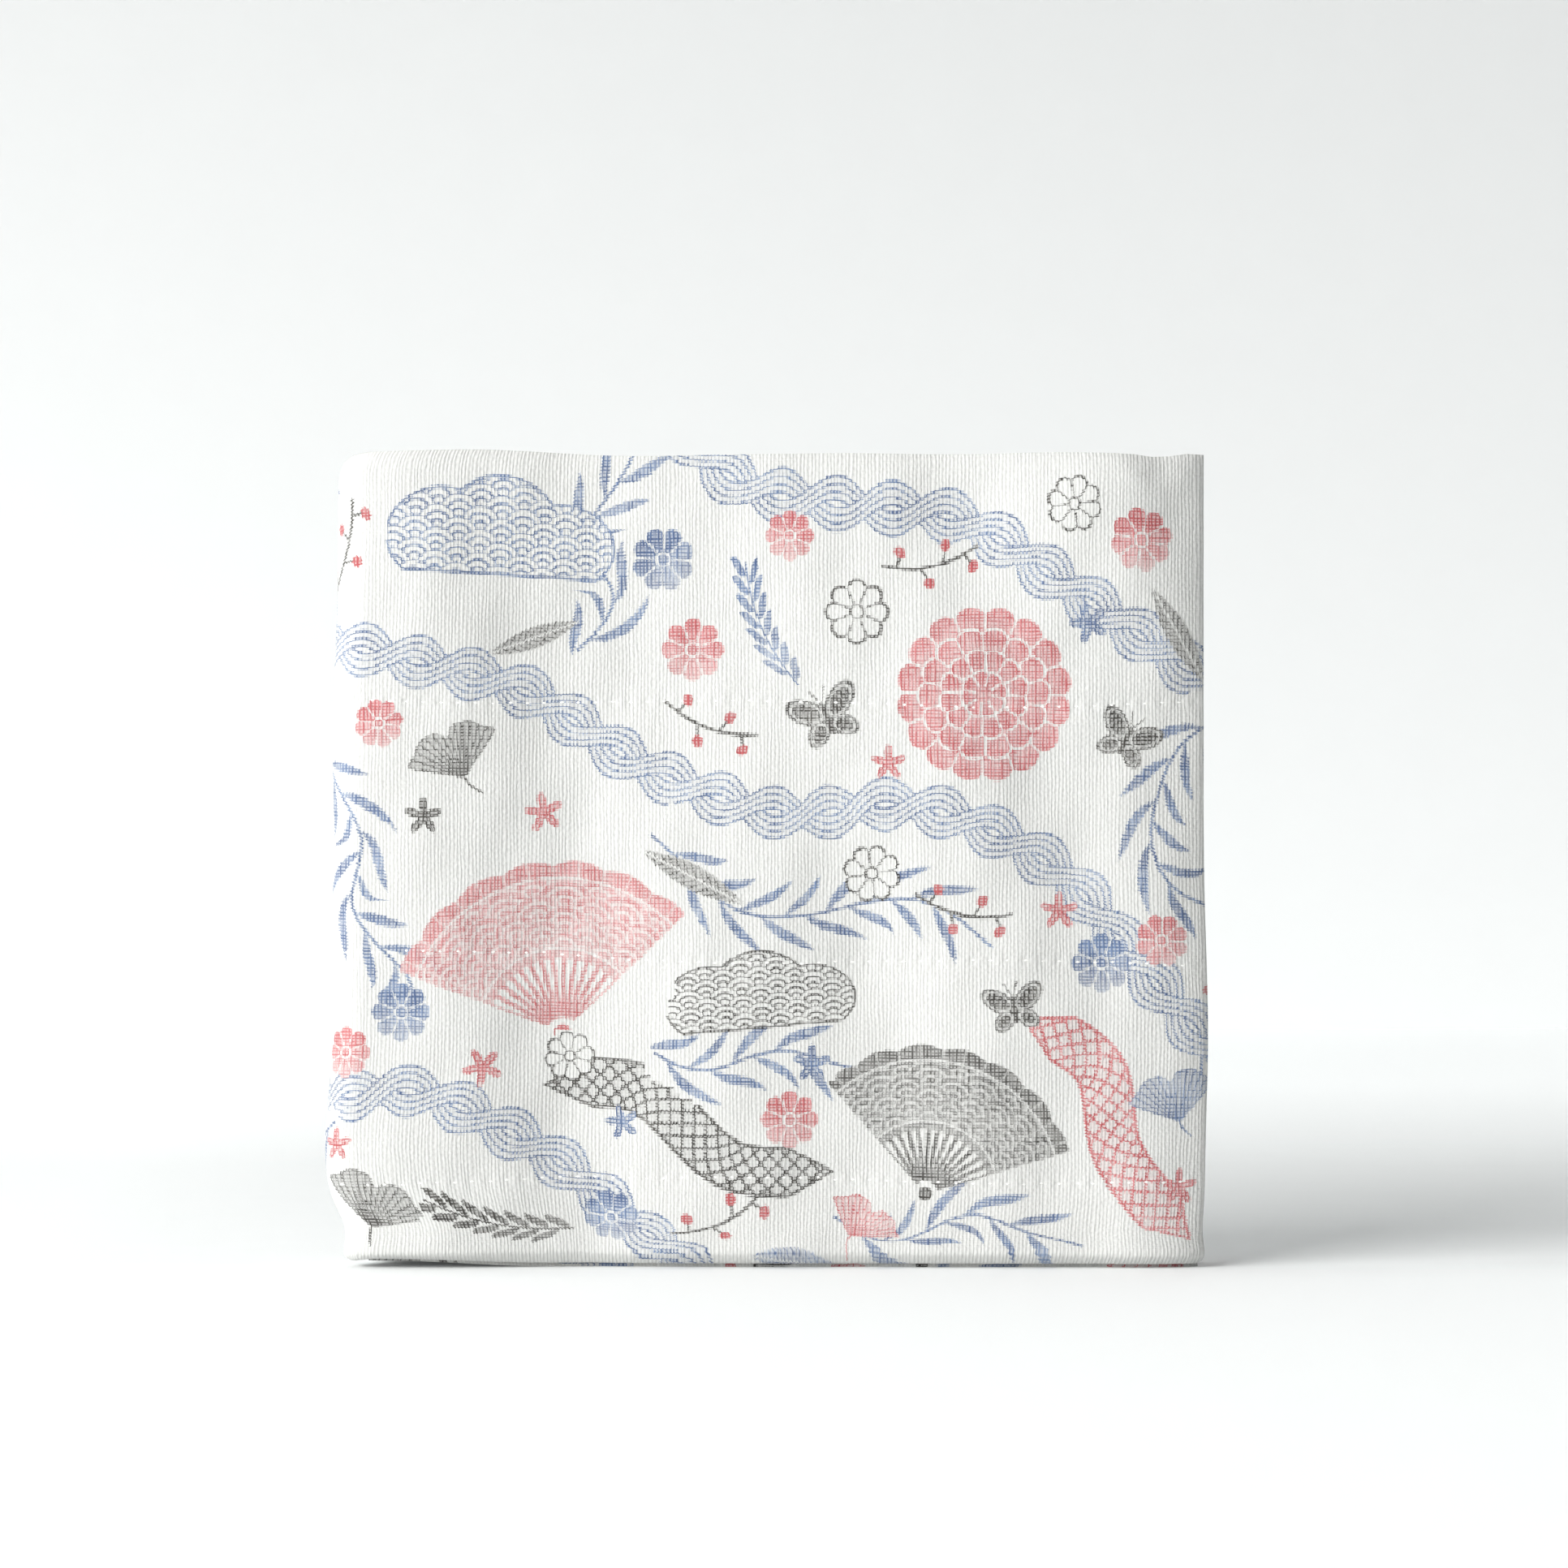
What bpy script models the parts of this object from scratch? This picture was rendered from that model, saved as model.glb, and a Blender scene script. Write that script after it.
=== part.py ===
"""A dishcloth folded in thirds both ways and stood on its lower folds.

Metres, +Z up. The face that shows looks along -Y, with its open edge at +X.
The origin is under the middle of the folded stack, on the surface it stands on.

The cloth is one sheet. It is folded back and forth once across, which gives three
layers, and those three are folded back and forth again, which gives nine. The solid
is made the same way: one section of three layers, carried along a second zigzag.
"""

import math

import bmesh
import bpy

# The folded cloth, as it stands.
FACE_WIDTH = 0.1172
FACE_HEIGHT = 0.1084
SHEET = 0.0012
LAYER_GAP = 0.0004

# What follows from the sheet: three layers make a bundle, three bundles the stack.
LAYER_PITCH = SHEET + LAYER_GAP
BUNDLE = 3 * SHEET + 2 * LAYER_GAP
BUNDLE_PITCH = BUNDLE + LAYER_GAP
STACK = 3 * BUNDLE + 2 * LAYER_GAP

# How far the hidden folds stop short of the edges in front of them.
TOP_FOLD_DROP = 0.0008
RIGHT_FOLD_INSET = 0.0010
BACK_END_INSET = 0.0035

# Steps of the mesh along each run and round each fold.
SECTION_RUN_STEPS = (14, 8, 10)
SECTION_FOLD_STEPS = 5
SECTION_CROWDING = 0.9
PATH_RUN_STEPS = (16, 10, 12)
LEFT_FOLD_STEPS = 7
RIGHT_FOLD_STEPS = 6
PATH_CROWDING = 0.3

# The left outline: drawn in at the foot, full just above it, leaning in higher up.
FOOT_INSET = 0.0030
FOOT_HEIGHT = 0.0115
BULGE_REACH = 0.0010
BULGE_Z = 0.0160
BULGE_SIZE = 0.0090
LEAN_INSET = 0.0008
LEAN_START_Z = 0.068
LEAN_END_Z = 0.098
CORNER_INSET = 0.0010
CORNER_START_Z = 0.1045
LEFT_SPREAD = 0.045

# Soft swells of the front. Each row: where, how wide and tall, and how far forward.
FRONT_SWELLS = (
    # x, z, half width, half height, rise
    (-0.0440, 0.045, 0.0085, 0.070, 0.0012),
    (-0.0500, 0.087, 0.0065, 0.012, 0.0011),
    (-0.0255, 0.045, 0.0080, 0.060, -0.0018),
    (-0.0225, 0.016, 0.0060, 0.013, -0.0005),
    (-0.0100, 0.083, 0.0085, 0.018, -0.0014),
    (-0.0060, 0.052, 0.0110, 0.022, 0.0008),
    (0.0135, 0.040, 0.0072, 0.010, -0.0013),
    (0.0140, 0.016, 0.0060, 0.010, -0.0006),
    (0.0240, 0.066, 0.0065, 0.012, 0.0010),
    (0.0275, 0.101, 0.0065, 0.009, -0.0009),
    (0.0280, 0.040, 0.0085, 0.030, 0.0010),
    (0.0350, 0.036, 0.0050, 0.008, 0.0008),
    (0.0400, 0.045, 0.0065, 0.013, -0.0007),
    (0.0425, 0.102, 0.0075, 0.008, 0.0017),
    (0.0560, 0.004, 0.0080, 0.008, 0.0014),
)
BACK_SWELLS = (
    (-0.040, 0.080, 0.012, 0.030, 0.0006),
    (-0.030, 0.015, 0.016, 0.018, 0.0004),
    (0.005, 0.052, 0.015, 0.040, -0.0007),
    (0.036, 0.075, 0.011, 0.025, 0.0005),
)

# The right edge rolls back from this place on, more and more steeply.
RIGHT_TURN_START = 0.046
RIGHT_TURN_BACK = 0.0026
RIGHT_TURN_POWER = 2.2

# The lower left corner stands a little off the surface.
CORNER_LIFT = 0.0010
LIFT_FULL_X = -0.030
LIFT_END_X = -0.016

# The bundles behind are lower at the top, most at the left.
BACK_TOP_DROP = 0.0016

# The lower right corner is drawn in, and the free edge steps back layer by layer.
RIGHT_DRAW_IN = 0.0005
RIGHT_DRAW_HEIGHT = 0.012
FREE_EDGE_STEP = 0.0004
FREE_EDGE_REACH = 0.040

CLOTH_COLOUR = (0.86, 0.85, 0.82, 1.0)


def eased(share):
    """A number from 0 to 1 with a soft start and end."""
    share = min(max(share, 0.0), 1.0)
    return share * share * (3.0 - 2.0 * share)


def crowded(share, crowding):
    """The same share of a run, moved so that steps stand closer together at its ends."""
    waved = 0.5 - 0.5 * math.cos(math.pi * share)
    return share + crowding * (waved - share)


def zigzag(start, low, high, end, pitch, run_steps, fold_steps, crowding):
    """Stations (along, across, heading) of a line folded back and forth in three runs.

    The first run goes down from start to low, the second up to high, and the third
    down to end. Low and high are the centres of the two round folds.
    """
    radius = pitch / 2
    stations = []
    runs = ((start, low, -pitch, math.pi), (low, high, 0.0, 0.0), (high, end, pitch, math.pi))
    for number, (first, last, across, heading) in enumerate(runs):
        steps = run_steps[number]
        for step in range(steps + 1):
            along = first + (last - first) * crowded(step / steps, crowding)
            stations.append((along, across, heading))
        if number == 2:
            break
        outward = -1 if number == 0 else 1
        middle = across + radius
        for step in range(1, fold_steps[number]):
            turned = math.pi * step / fold_steps[number]
            heading = math.pi - turned if number == 0 else turned
            along = last + outward * radius * math.sin(turned)
            stations.append((along, middle - radius * math.cos(turned), heading))
    return stations


def sheet_section():
    """The closed outline (height, depth) of the three layers, printed side first."""
    base = LAYER_PITCH / 2 + SHEET / 2
    facet = math.cos(math.pi / SECTION_FOLD_STEPS / 2)
    stations = zigzag(
        start=FACE_HEIGHT,
        low=base * facet,
        high=FACE_HEIGHT - TOP_FOLD_DROP - base,
        end=0.0,
        pitch=LAYER_PITCH,
        run_steps=SECTION_RUN_STEPS,
        fold_steps=(SECTION_FOLD_STEPS, SECTION_FOLD_STEPS),
        crowding=SECTION_CROWDING,
    )
    printed = []
    reverse = []
    for height, depth, heading in stations:
        across = (-math.sin(heading), math.cos(heading))
        printed.append((height + across[0] * SHEET / 2, depth + across[1] * SHEET / 2))
        reverse.append((height - across[0] * SHEET / 2, depth - across[1] * SHEET / 2))
    return printed, reverse


def fold_path():
    """Stations (x, y, heading) of the second fold, seen from above."""
    outer = BUNDLE_PITCH / 2 + BUNDLE / 2
    right = FACE_WIDTH / 2
    return zigzag(
        start=right,
        low=-right + outer,
        high=right - RIGHT_FOLD_INSET - outer,
        end=-right + BACK_END_INSET,
        pitch=BUNDLE_PITCH,
        run_steps=PATH_RUN_STEPS,
        fold_steps=(LEFT_FOLD_STEPS, RIGHT_FOLD_STEPS),
        crowding=PATH_CROWDING,
    )


def swell(table, x, z):
    """How far the table's swells together stand out at this place."""
    total = 0.0
    for centre_x, centre_z, half_width, half_height, rise in table:
        across = (x - centre_x) / half_width
        upward = (z - centre_z) / half_height
        total += rise * math.exp(-0.5 * (across * across + upward * upward))
    return total


def left_inset(z):
    """How far the left outline stands in at this height."""
    foot = FOOT_INSET * eased(1 - z / FOOT_HEIGHT)
    bulge = BULGE_REACH * math.exp(-(((z - BULGE_Z) / BULGE_SIZE) ** 2))
    lean = LEAN_INSET * eased((z - LEAN_START_Z) / (LEAN_END_Z - LEAN_START_Z))
    corner = max(0.0, (z - CORNER_START_Z) / (FACE_HEIGHT - CORNER_START_Z)) ** 3
    return foot - bulge + lean + CORNER_INSET * corner


def settled(x, y, z):
    """Where a point of the evenly folded cloth comes to lie in the uneven one."""
    front = 0.5 - y / STACK
    from_left = (x + FACE_WIDTH / 2) / LEFT_SPREAD
    turn = max(0.0, (x - RIGHT_TURN_START) / (FACE_WIDTH / 2 - RIGHT_TURN_START))
    draw = eased(1 - z / RIGHT_DRAW_HEIGHT) * eased((x - LIFT_END_X) / (FACE_WIDTH / 2))
    lift = CORNER_LIFT * eased((LIFT_END_X - x) / (LIFT_END_X - LIFT_FULL_X))
    new_x = x + left_inset(z) * (1 - eased(from_left)) - RIGHT_DRAW_IN * draw
    new_y = y - front * swell(FRONT_SWELLS, x, z) + (1 - front) * swell(BACK_SWELLS, x, z)
    new_y += front * RIGHT_TURN_BACK * turn**RIGHT_TURN_POWER
    upper = (z / FACE_HEIGHT) ** 2
    drop = BACK_TOP_DROP * (1 - front) * (0.5 - x / FACE_WIDTH)
    new_z = z + lift * (0.5 + 0.5 * front) * (1 - z / FACE_HEIGHT) ** 2 - drop * upper
    return new_x, new_y, new_z


def ring(section, x, y, heading, end_share):
    """The sheet's section, placed at one station of the second fold and settled."""
    inward = (math.sin(heading), -math.cos(heading))
    points = []
    for height, depth in section:
        step_back = FREE_EDGE_STEP * end_share * (depth + LAYER_PITCH) / LAYER_PITCH
        place_x = x + inward[0] * depth - step_back
        place_y = y + inward[1] * depth
        points.append(settled(place_x, place_y, height))
    return points


def folded_sheet():
    """The whole folded cloth as one closed mesh."""
    printed, reverse = sheet_section()
    outline = printed + reverse[::-1]
    count = len(printed)
    rings = []
    for number, (x, y, heading) in enumerate(fold_path()):
        on_front = number <= PATH_RUN_STEPS[0]
        end_share = eased(1 - (FACE_WIDTH / 2 - x) / FREE_EDGE_REACH) if on_front else 0.0
        rings.append(ring(outline, x, y, heading, end_share))

    lowest = [min(point[axis] for points in rings for point in points) for axis in range(3)]
    highest = [max(point[axis] for points in rings for point in points) for axis in range(3)]
    middle = [(low + high) / 2 for low, high in zip(lowest, highest)]
    middle[2] = lowest[2]

    shape = bmesh.new()
    corners = []
    for points in rings:
        corners.append([shape.verts.new([a - b for a, b in zip(point, middle)]) for point in points])
    around = len(outline)
    for first, second in zip(corners, corners[1:]):
        for place in range(around):
            after = (place + 1) % around
            shape.faces.new((first[place], first[after], second[after], second[place]))
    for points in (corners[0], corners[-1]):
        for place in range(count - 1):
            other = around - 1 - place
            shape.faces.new((points[place], points[place + 1], points[other - 1], points[other]))
    bmesh.ops.recalc_face_normals(shape, faces=shape.faces)
    mesh = bpy.data.meshes.new("folded_cloth")
    shape.to_mesh(mesh)
    shape.free()
    return mesh


def cloth_material():
    """Off-white cotton gauze, matt."""
    material = bpy.data.materials.new("cotton_gauze")
    material.use_nodes = True
    shader = material.node_tree.nodes["Principled BSDF"]
    shader.inputs["Base Color"].default_value = CLOTH_COLOUR
    shader.inputs["Roughness"].default_value = 0.9
    shader.inputs["Metallic"].default_value = 0.0
    material.diffuse_color = CLOTH_COLOUR
    return material


def main():
    for old in list(bpy.data.objects):
        bpy.data.objects.remove(old)
    mesh = folded_sheet()
    mesh.materials.append(cloth_material())
    mesh.shade_smooth()
    mesh.set_sharp_from_angle(angle=math.radians(50))
    cloth = bpy.data.objects.new("folded_cloth", mesh)
    bpy.context.scene.collection.objects.link(cloth)


main()
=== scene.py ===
# %% [markdown]
# # A folded dishcloth
#
# The real object is a kitchen cloth of layered cotton gauze. It is printed on its face,
# quilted through with rows of running stitch, and folded in thirds both ways, so that it
# stands on its lower folds. This lesson makes its looks: the soft sheet with its uneven
# folds, the stitches, the weave and a printed pattern, and then a pale table and the
# light of a large window. The solid that the cloth replaces is loaded first, because
# everything made here has to sit exactly where that solid is.

import math

import bmesh
import bpy
import numpy as np
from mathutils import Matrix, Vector


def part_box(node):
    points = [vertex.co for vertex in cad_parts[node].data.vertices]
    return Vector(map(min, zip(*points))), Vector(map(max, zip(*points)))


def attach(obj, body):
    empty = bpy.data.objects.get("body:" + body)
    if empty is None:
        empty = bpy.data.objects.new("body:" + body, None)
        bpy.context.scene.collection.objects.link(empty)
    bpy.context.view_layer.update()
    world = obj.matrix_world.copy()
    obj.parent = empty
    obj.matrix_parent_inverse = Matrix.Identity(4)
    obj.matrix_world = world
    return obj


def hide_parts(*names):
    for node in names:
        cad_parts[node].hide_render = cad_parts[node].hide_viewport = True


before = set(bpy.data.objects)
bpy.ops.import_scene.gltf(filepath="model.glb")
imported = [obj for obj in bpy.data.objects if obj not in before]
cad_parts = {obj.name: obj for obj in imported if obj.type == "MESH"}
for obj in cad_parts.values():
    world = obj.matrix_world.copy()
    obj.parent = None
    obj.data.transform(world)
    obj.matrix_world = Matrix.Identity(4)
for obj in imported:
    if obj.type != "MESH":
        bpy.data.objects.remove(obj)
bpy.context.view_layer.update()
low, high = (Vector(corner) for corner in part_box("folded_cloth"))
print("folded cloth, low corner", tuple(round(v, 4) for v in low))
print("folded cloth, high corner", tuple(round(v, 4) for v in high))

# %% [markdown]
# ## The camera
#
# The photograph looks straight at the folded face, from the height of its middle and a
# little to its right. Nothing in it leans, so the camera is level. A long lens from
# three quarters of a metre keeps the two sides of the cloth from showing. The camera
# comes first, since every later choice is judged through it.

# %% Camera
CAMERA_DISTANCE = 0.75
CAMERA_HEIGHT = 0.0650
CAMERA_ASIDE = 0.0024
VIEW_WIDTH = 0.2096

bpy.ops.object.select_all(action="DESELECT")
bpy.ops.object.camera_add(
    location=(CAMERA_ASIDE, low.y - CAMERA_DISTANCE, CAMERA_HEIGHT),
    rotation=(math.pi / 2, 0, 0),
)
camera = bpy.context.object
camera.name = "camera"
camera.data.sensor_width = 36
camera.data.lens = camera.data.sensor_width * CAMERA_DISTANCE / VIEW_WIDTH
camera.data.clip_start = 0.01
camera.data.clip_end = 20
bpy.context.scene.camera = camera
print("lens", round(camera.data.lens, 1), "mm")

# %% [markdown]
# ## How the cloth is folded
#
# A folded cloth could be made by stacking nine slabs, but then nothing would turn round
# at the edges. Here the sheet is made flat and is then carried through two zigzags, as
# hands fold it. The first zigzag turns it top to bottom into three layers. The second
# turns those three from side to side. The same few sizes shaped the solid, so the soft
# sheet lands on it.

# %% Sizes of the folded cloth
FACE_WIDTH = 0.1172
FACE_HEIGHT = 0.1084
SHEET = 0.0012
LAYER_GAP = 0.0004
LAYER_PITCH = SHEET + LAYER_GAP
BUNDLE = 3 * SHEET + 2 * LAYER_GAP
BUNDLE_PITCH = BUNDLE + LAYER_GAP
STACK = 3 * BUNDLE + 2 * LAYER_GAP
TOP_FOLD_DROP = 0.0008
RIGHT_FOLD_INSET = 0.0010
BACK_END_INSET = 0.0035
TINY = 1e-9

SECTION_TURN = LAYER_PITCH / 2 + SHEET / 2
SECTION = {
    "start": FACE_HEIGHT,
    "low": SECTION_TURN,
    "high": FACE_HEIGHT - TOP_FOLD_DROP - SECTION_TURN,
    "end": 0.0,
    "pitch": LAYER_PITCH,
}
PATH_TURN = BUNDLE_PITCH / 2 + BUNDLE / 2
PATH = {
    "start": FACE_WIDTH / 2,
    "low": -FACE_WIDTH / 2 + PATH_TURN,
    "high": FACE_WIDTH / 2 - RIGHT_FOLD_INSET - PATH_TURN,
    "end": -FACE_WIDTH / 2 + BACK_END_INSET,
    "pitch": BUNDLE_PITCH,
}


def run_lengths(fold_sizes):
    """The lengths of run, turn, run, turn and run of one zigzag."""
    turn = math.pi * fold_sizes["pitch"] / 2
    first = fold_sizes["start"] - fold_sizes["low"]
    second = fold_sizes["high"] - fold_sizes["low"]
    third = fold_sizes["high"] - fold_sizes["end"]
    return first, turn, second, turn, third


CLOTH_WIDTH = sum(run_lengths(PATH))
CLOTH_LENGTH = sum(run_lengths(SECTION))
print(f"flat cloth {CLOTH_WIDTH * 1000:.1f} x {CLOTH_LENGTH * 1000:.1f} mm")

# %% [markdown]
# A point that has travelled some distance along the sheet is somewhere on the zigzag.
# Clipping the distance to each stretch in turn gives its place without any branching:
# each run moves it straight, and each turn swings it round half a circle.

# %% Distance along the sheet to a place on the zigzag


def zigzag(distance, fold_sizes):
    """Place along, place across, heading and the two turned angles, for each distance."""
    first, turn, second, _, _ = run_lengths(fold_sizes)
    radius = fold_sizes["pitch"] / 2
    turned = np.clip((distance - first) / radius, 0, math.pi)
    turned_again = np.clip((distance - first - turn - second) / radius, 0, math.pi)
    gone = np.clip(distance, None, first)
    back = np.clip(distance - first - turn, 0, second)
    gone_again = np.clip(distance - first - 2 * turn - second, 0, None)
    along = fold_sizes["start"] - gone + back - gone_again
    along += radius * (np.sin(turned_again) - np.sin(turned))
    across = -fold_sizes["pitch"] + radius * (2 - np.cos(turned) - np.cos(turned_again))
    return along, across, math.pi - turned + turned_again, turned, turned_again


middle_place = zigzag(np.array([CLOTH_WIDTH / 2]), PATH)
print("the middle of the sheet lies at x", round(float(middle_place[0][0]), 4))

# %% [markdown]
# Real cloth doesn't lie flat in its folds. The left outline is drawn in at the foot and
# leans in above its middle, the front has soft swells and hollows, the right edge rolls
# back, and the lower left corner stands just clear of the table. Each of these is a soft
# rise with its own place, width, height and depth, read off the photograph.

# %% How the folded cloth settles
FRONT_SWELLS = (
    # x, z, half width, half height, rise
    (-0.0440, 0.045, 0.0085, 0.070, 0.0012),
    (-0.0500, 0.087, 0.0065, 0.012, 0.0011),
    (-0.0255, 0.045, 0.0080, 0.060, -0.0018),
    (-0.0225, 0.016, 0.0060, 0.013, -0.0005),
    (-0.0100, 0.083, 0.0085, 0.018, -0.0014),
    (-0.0060, 0.052, 0.0110, 0.022, 0.0008),
    (0.0135, 0.040, 0.0072, 0.010, -0.0013),
    (0.0140, 0.016, 0.0060, 0.010, -0.0006),
    (0.0240, 0.066, 0.0065, 0.012, 0.0010),
    (0.0275, 0.101, 0.0065, 0.009, -0.0009),
    (0.0280, 0.040, 0.0085, 0.030, 0.0010),
    (0.0350, 0.036, 0.0050, 0.008, 0.0008),
    (0.0400, 0.045, 0.0065, 0.013, -0.0007),
    (0.0425, 0.102, 0.0075, 0.008, 0.0017),
    (0.0560, 0.004, 0.0080, 0.008, 0.0014),
)
BACK_SWELLS = (
    # x, z, half width, half height, rise
    (-0.040, 0.080, 0.012, 0.030, 0.0006),
    (-0.030, 0.015, 0.016, 0.018, 0.0004),
    (0.005, 0.052, 0.015, 0.040, -0.0007),
    (0.036, 0.075, 0.011, 0.025, 0.0005),
)
FOOT_INSET = 0.0030
FOOT_HEIGHT = 0.0115
BULGE_REACH = 0.0010
BULGE_Z = 0.0160
BULGE_SIZE = 0.0090
LEAN_INSET = 0.0008
LEAN_START_Z = 0.068
LEAN_END_Z = 0.098
CORNER_INSET = 0.0010
CORNER_START_Z = 0.1045
LEFT_SPREAD = 0.045
RIGHT_TURN_START = 0.046
RIGHT_TURN_BACK = 0.0026
RIGHT_TURN_POWER = 2.2
RIGHT_DRAW_IN = 0.0005
RIGHT_DRAW_HEIGHT = 0.012
CORNER_LIFT = 0.0010
LIFT_FULL_X = -0.030
LIFT_END_X = -0.016
BACK_TOP_DROP = 0.0016
print(len(FRONT_SWELLS), "swells in front and", len(BACK_SWELLS), "behind")

# %% [markdown]
# A few small shapes do all the settling: a soft rise between two places, a soft fade, a
# bell, and a whole table of swells. Every function takes arrays, so that all the points
# of the sheet are moved in one go.

# %% Settle the folded cloth


def eased(share):
    """Numbers from 0 to 1 with a soft start and end."""
    share = np.clip(share, 0, 1)
    return share * share * (3 - 2 * share)


def rising(place, start, full):
    """Softly from 0 at the start to 1 where it is full."""
    return eased((place - start) / (full - start))


def fading(distance, reach):
    """Softly from 1 at no distance to 0 at the reach."""
    return eased(1 - distance / reach)


def hump(place, centre, size):
    """1 at the centre, falling away like a bell."""
    return np.exp(-(((place - centre) / size) ** 2))


def swell(table, x, z):
    """How far the table's swells together stand out at each place."""
    total = np.zeros_like(x)
    for centre_x, centre_z, half_width, half_height, rise in table:
        across = (x - centre_x) / half_width
        upward = (z - centre_z) / half_height
        total += rise * np.exp(-0.5 * (across**2 + upward**2))
    return total


def left_inset(z):
    """How far the left outline stands in at each height."""
    foot = FOOT_INSET * fading(z, FOOT_HEIGHT)
    bulge = BULGE_REACH * hump(z, BULGE_Z, BULGE_SIZE)
    lean = LEAN_INSET * rising(z, LEAN_START_Z, LEAN_END_Z)
    corner = np.clip((z - CORNER_START_Z) / (FACE_HEIGHT - CORNER_START_Z), 0, None) ** 3
    return foot - bulge + lean + CORNER_INSET * corner


def settled(x, y, z):
    """Where points of the evenly folded cloth come to lie in the uneven one."""
    front = 0.5 - y / STACK
    from_left = (x + FACE_WIDTH / 2) / LEFT_SPREAD
    turn = np.clip((x - RIGHT_TURN_START) / (FACE_WIDTH / 2 - RIGHT_TURN_START), 0, None)
    draw = fading(z, RIGHT_DRAW_HEIGHT) * eased((x - LIFT_END_X) / (FACE_WIDTH / 2))
    lift = CORNER_LIFT * rising(x, LIFT_END_X, LIFT_FULL_X)
    new_x = x + left_inset(z) * (1 - eased(from_left)) - RIGHT_DRAW_IN * draw
    new_y = y - front * swell(FRONT_SWELLS, x, z) + (1 - front) * swell(BACK_SWELLS, x, z)
    new_y += front * RIGHT_TURN_BACK * turn**RIGHT_TURN_POWER
    drop = BACK_TOP_DROP * (1 - front) * (0.5 - x / FACE_WIDTH) * (z / FACE_HEIGHT) ** 2
    new_z = z + lift * (0.5 + 0.5 * front) * (1 - z / FACE_HEIGHT) ** 2 - drop
    return new_x, new_y, new_z


foot_inset = float(left_inset(np.zeros(1))[0])
print(f"the left outline stands in by {foot_inset * 1000:.1f} mm at its foot")

# %% [markdown]
# The sheet can show finer things than the solid. Its surface is slightly rumpled all
# over, its upper edge is wavy by half a millimetre, and the upper right corner is
# puckered where the hem ends. The front's lower fold is pressed to a crease. That crease
# stands one to two millimetres off the table and the layers behind it rest on the table,
# so that its shaded underside shows as a dark line.

# %% Fine unevenness
RUMPLES = (
    # waves along x, waves along z, start, height, all in waves per metre and metres
    (62, 21, 0.3, 0.00010),
    (-38, 74, 1.9, 0.00007),
    (118, -33, 4.1, 0.00005),
    (24, 128, 2.6, 0.00004),
)
EDGE_WAVES = (
    # x, half width, rise
    (-0.0450, 0.0120, 0.00050),
    (-0.0380, 0.0060, 0.00022),
    (-0.0180, 0.0050, -0.00020),
    (0.0100, 0.0070, 0.00018),
    (0.0390, 0.0060, 0.00025),
    (0.0525, 0.0020, -0.00040),
    (0.0562, 0.0016, 0.00020),
)
PUCKERS = (
    # x, z, half width, half height, rise
    (0.0525, 0.1078, 0.0018, 0.0014, -0.0007),
    (0.0558, 0.1070, 0.0014, 0.0020, 0.0004),
    (0.0490, 0.1074, 0.0013, 0.0016, 0.0003),
    (0.0300, 0.0745, 0.0060, 0.0012, -0.0002),
    (0.0370, 0.0400, 0.0080, 0.0012, -0.0002),
)
LOWER_EDGE_X = (-0.0586, -0.0300, -0.0140, 0.0250, 0.0586)
LOWER_EDGE_RISE = (0.0007, 0.0009, 0.0017, 0.0017, 0.0014)
LOWER_EDGE_HEIGHT = 0.0070
OUTER_LAYER = 0.0030
PRESSED_START_X = -0.052
PRESSED_END_X = -0.030
FOOT_SPREAD = 0.0016
FOOT_SPREAD_HEIGHT = 0.0055
RIGHT_FOOT_SPREAD = 0.0006
RIGHT_BULGE = 0.0006
RIGHT_BULGE_Z = 0.0315
RIGHT_BULGE_SIZE = 0.0160
UPPER_EDGE_RISE = 0.0008
UPPER_EDGE_POWER = 12
CREASE_POWER = 5
FRONT_GAIN = 1.6
FRONT_START = 0.6
print(len(RUMPLES), "long rumples,", len(EDGE_WAVES), "edge waves,", len(PUCKERS), "puckers")

# %% Add the fine unevenness


def creased(y, z):
    """The front's lower fold, drawn from half a circle to a sharper crease."""
    across = y + STACK / 2 - SECTION_TURN
    upward = z - SECTION_TURN
    reach = np.hypot(across, upward) + TINY
    sides = abs(across / reach) ** CREASE_POWER + abs(upward / reach) ** CREASE_POWER
    on_fold = (across < 0) & (upward < 0)
    push = np.where(on_fold, sides ** (-1 / CREASE_POWER) - 1, 0)
    return y + across * push, z + upward * push


def outer_quarter(x):
    """0 as far as halfway from the middle to the edge, then softly up to 1 at the edge."""
    return eased(x * 4 / FACE_WIDTH - 1)


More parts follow.
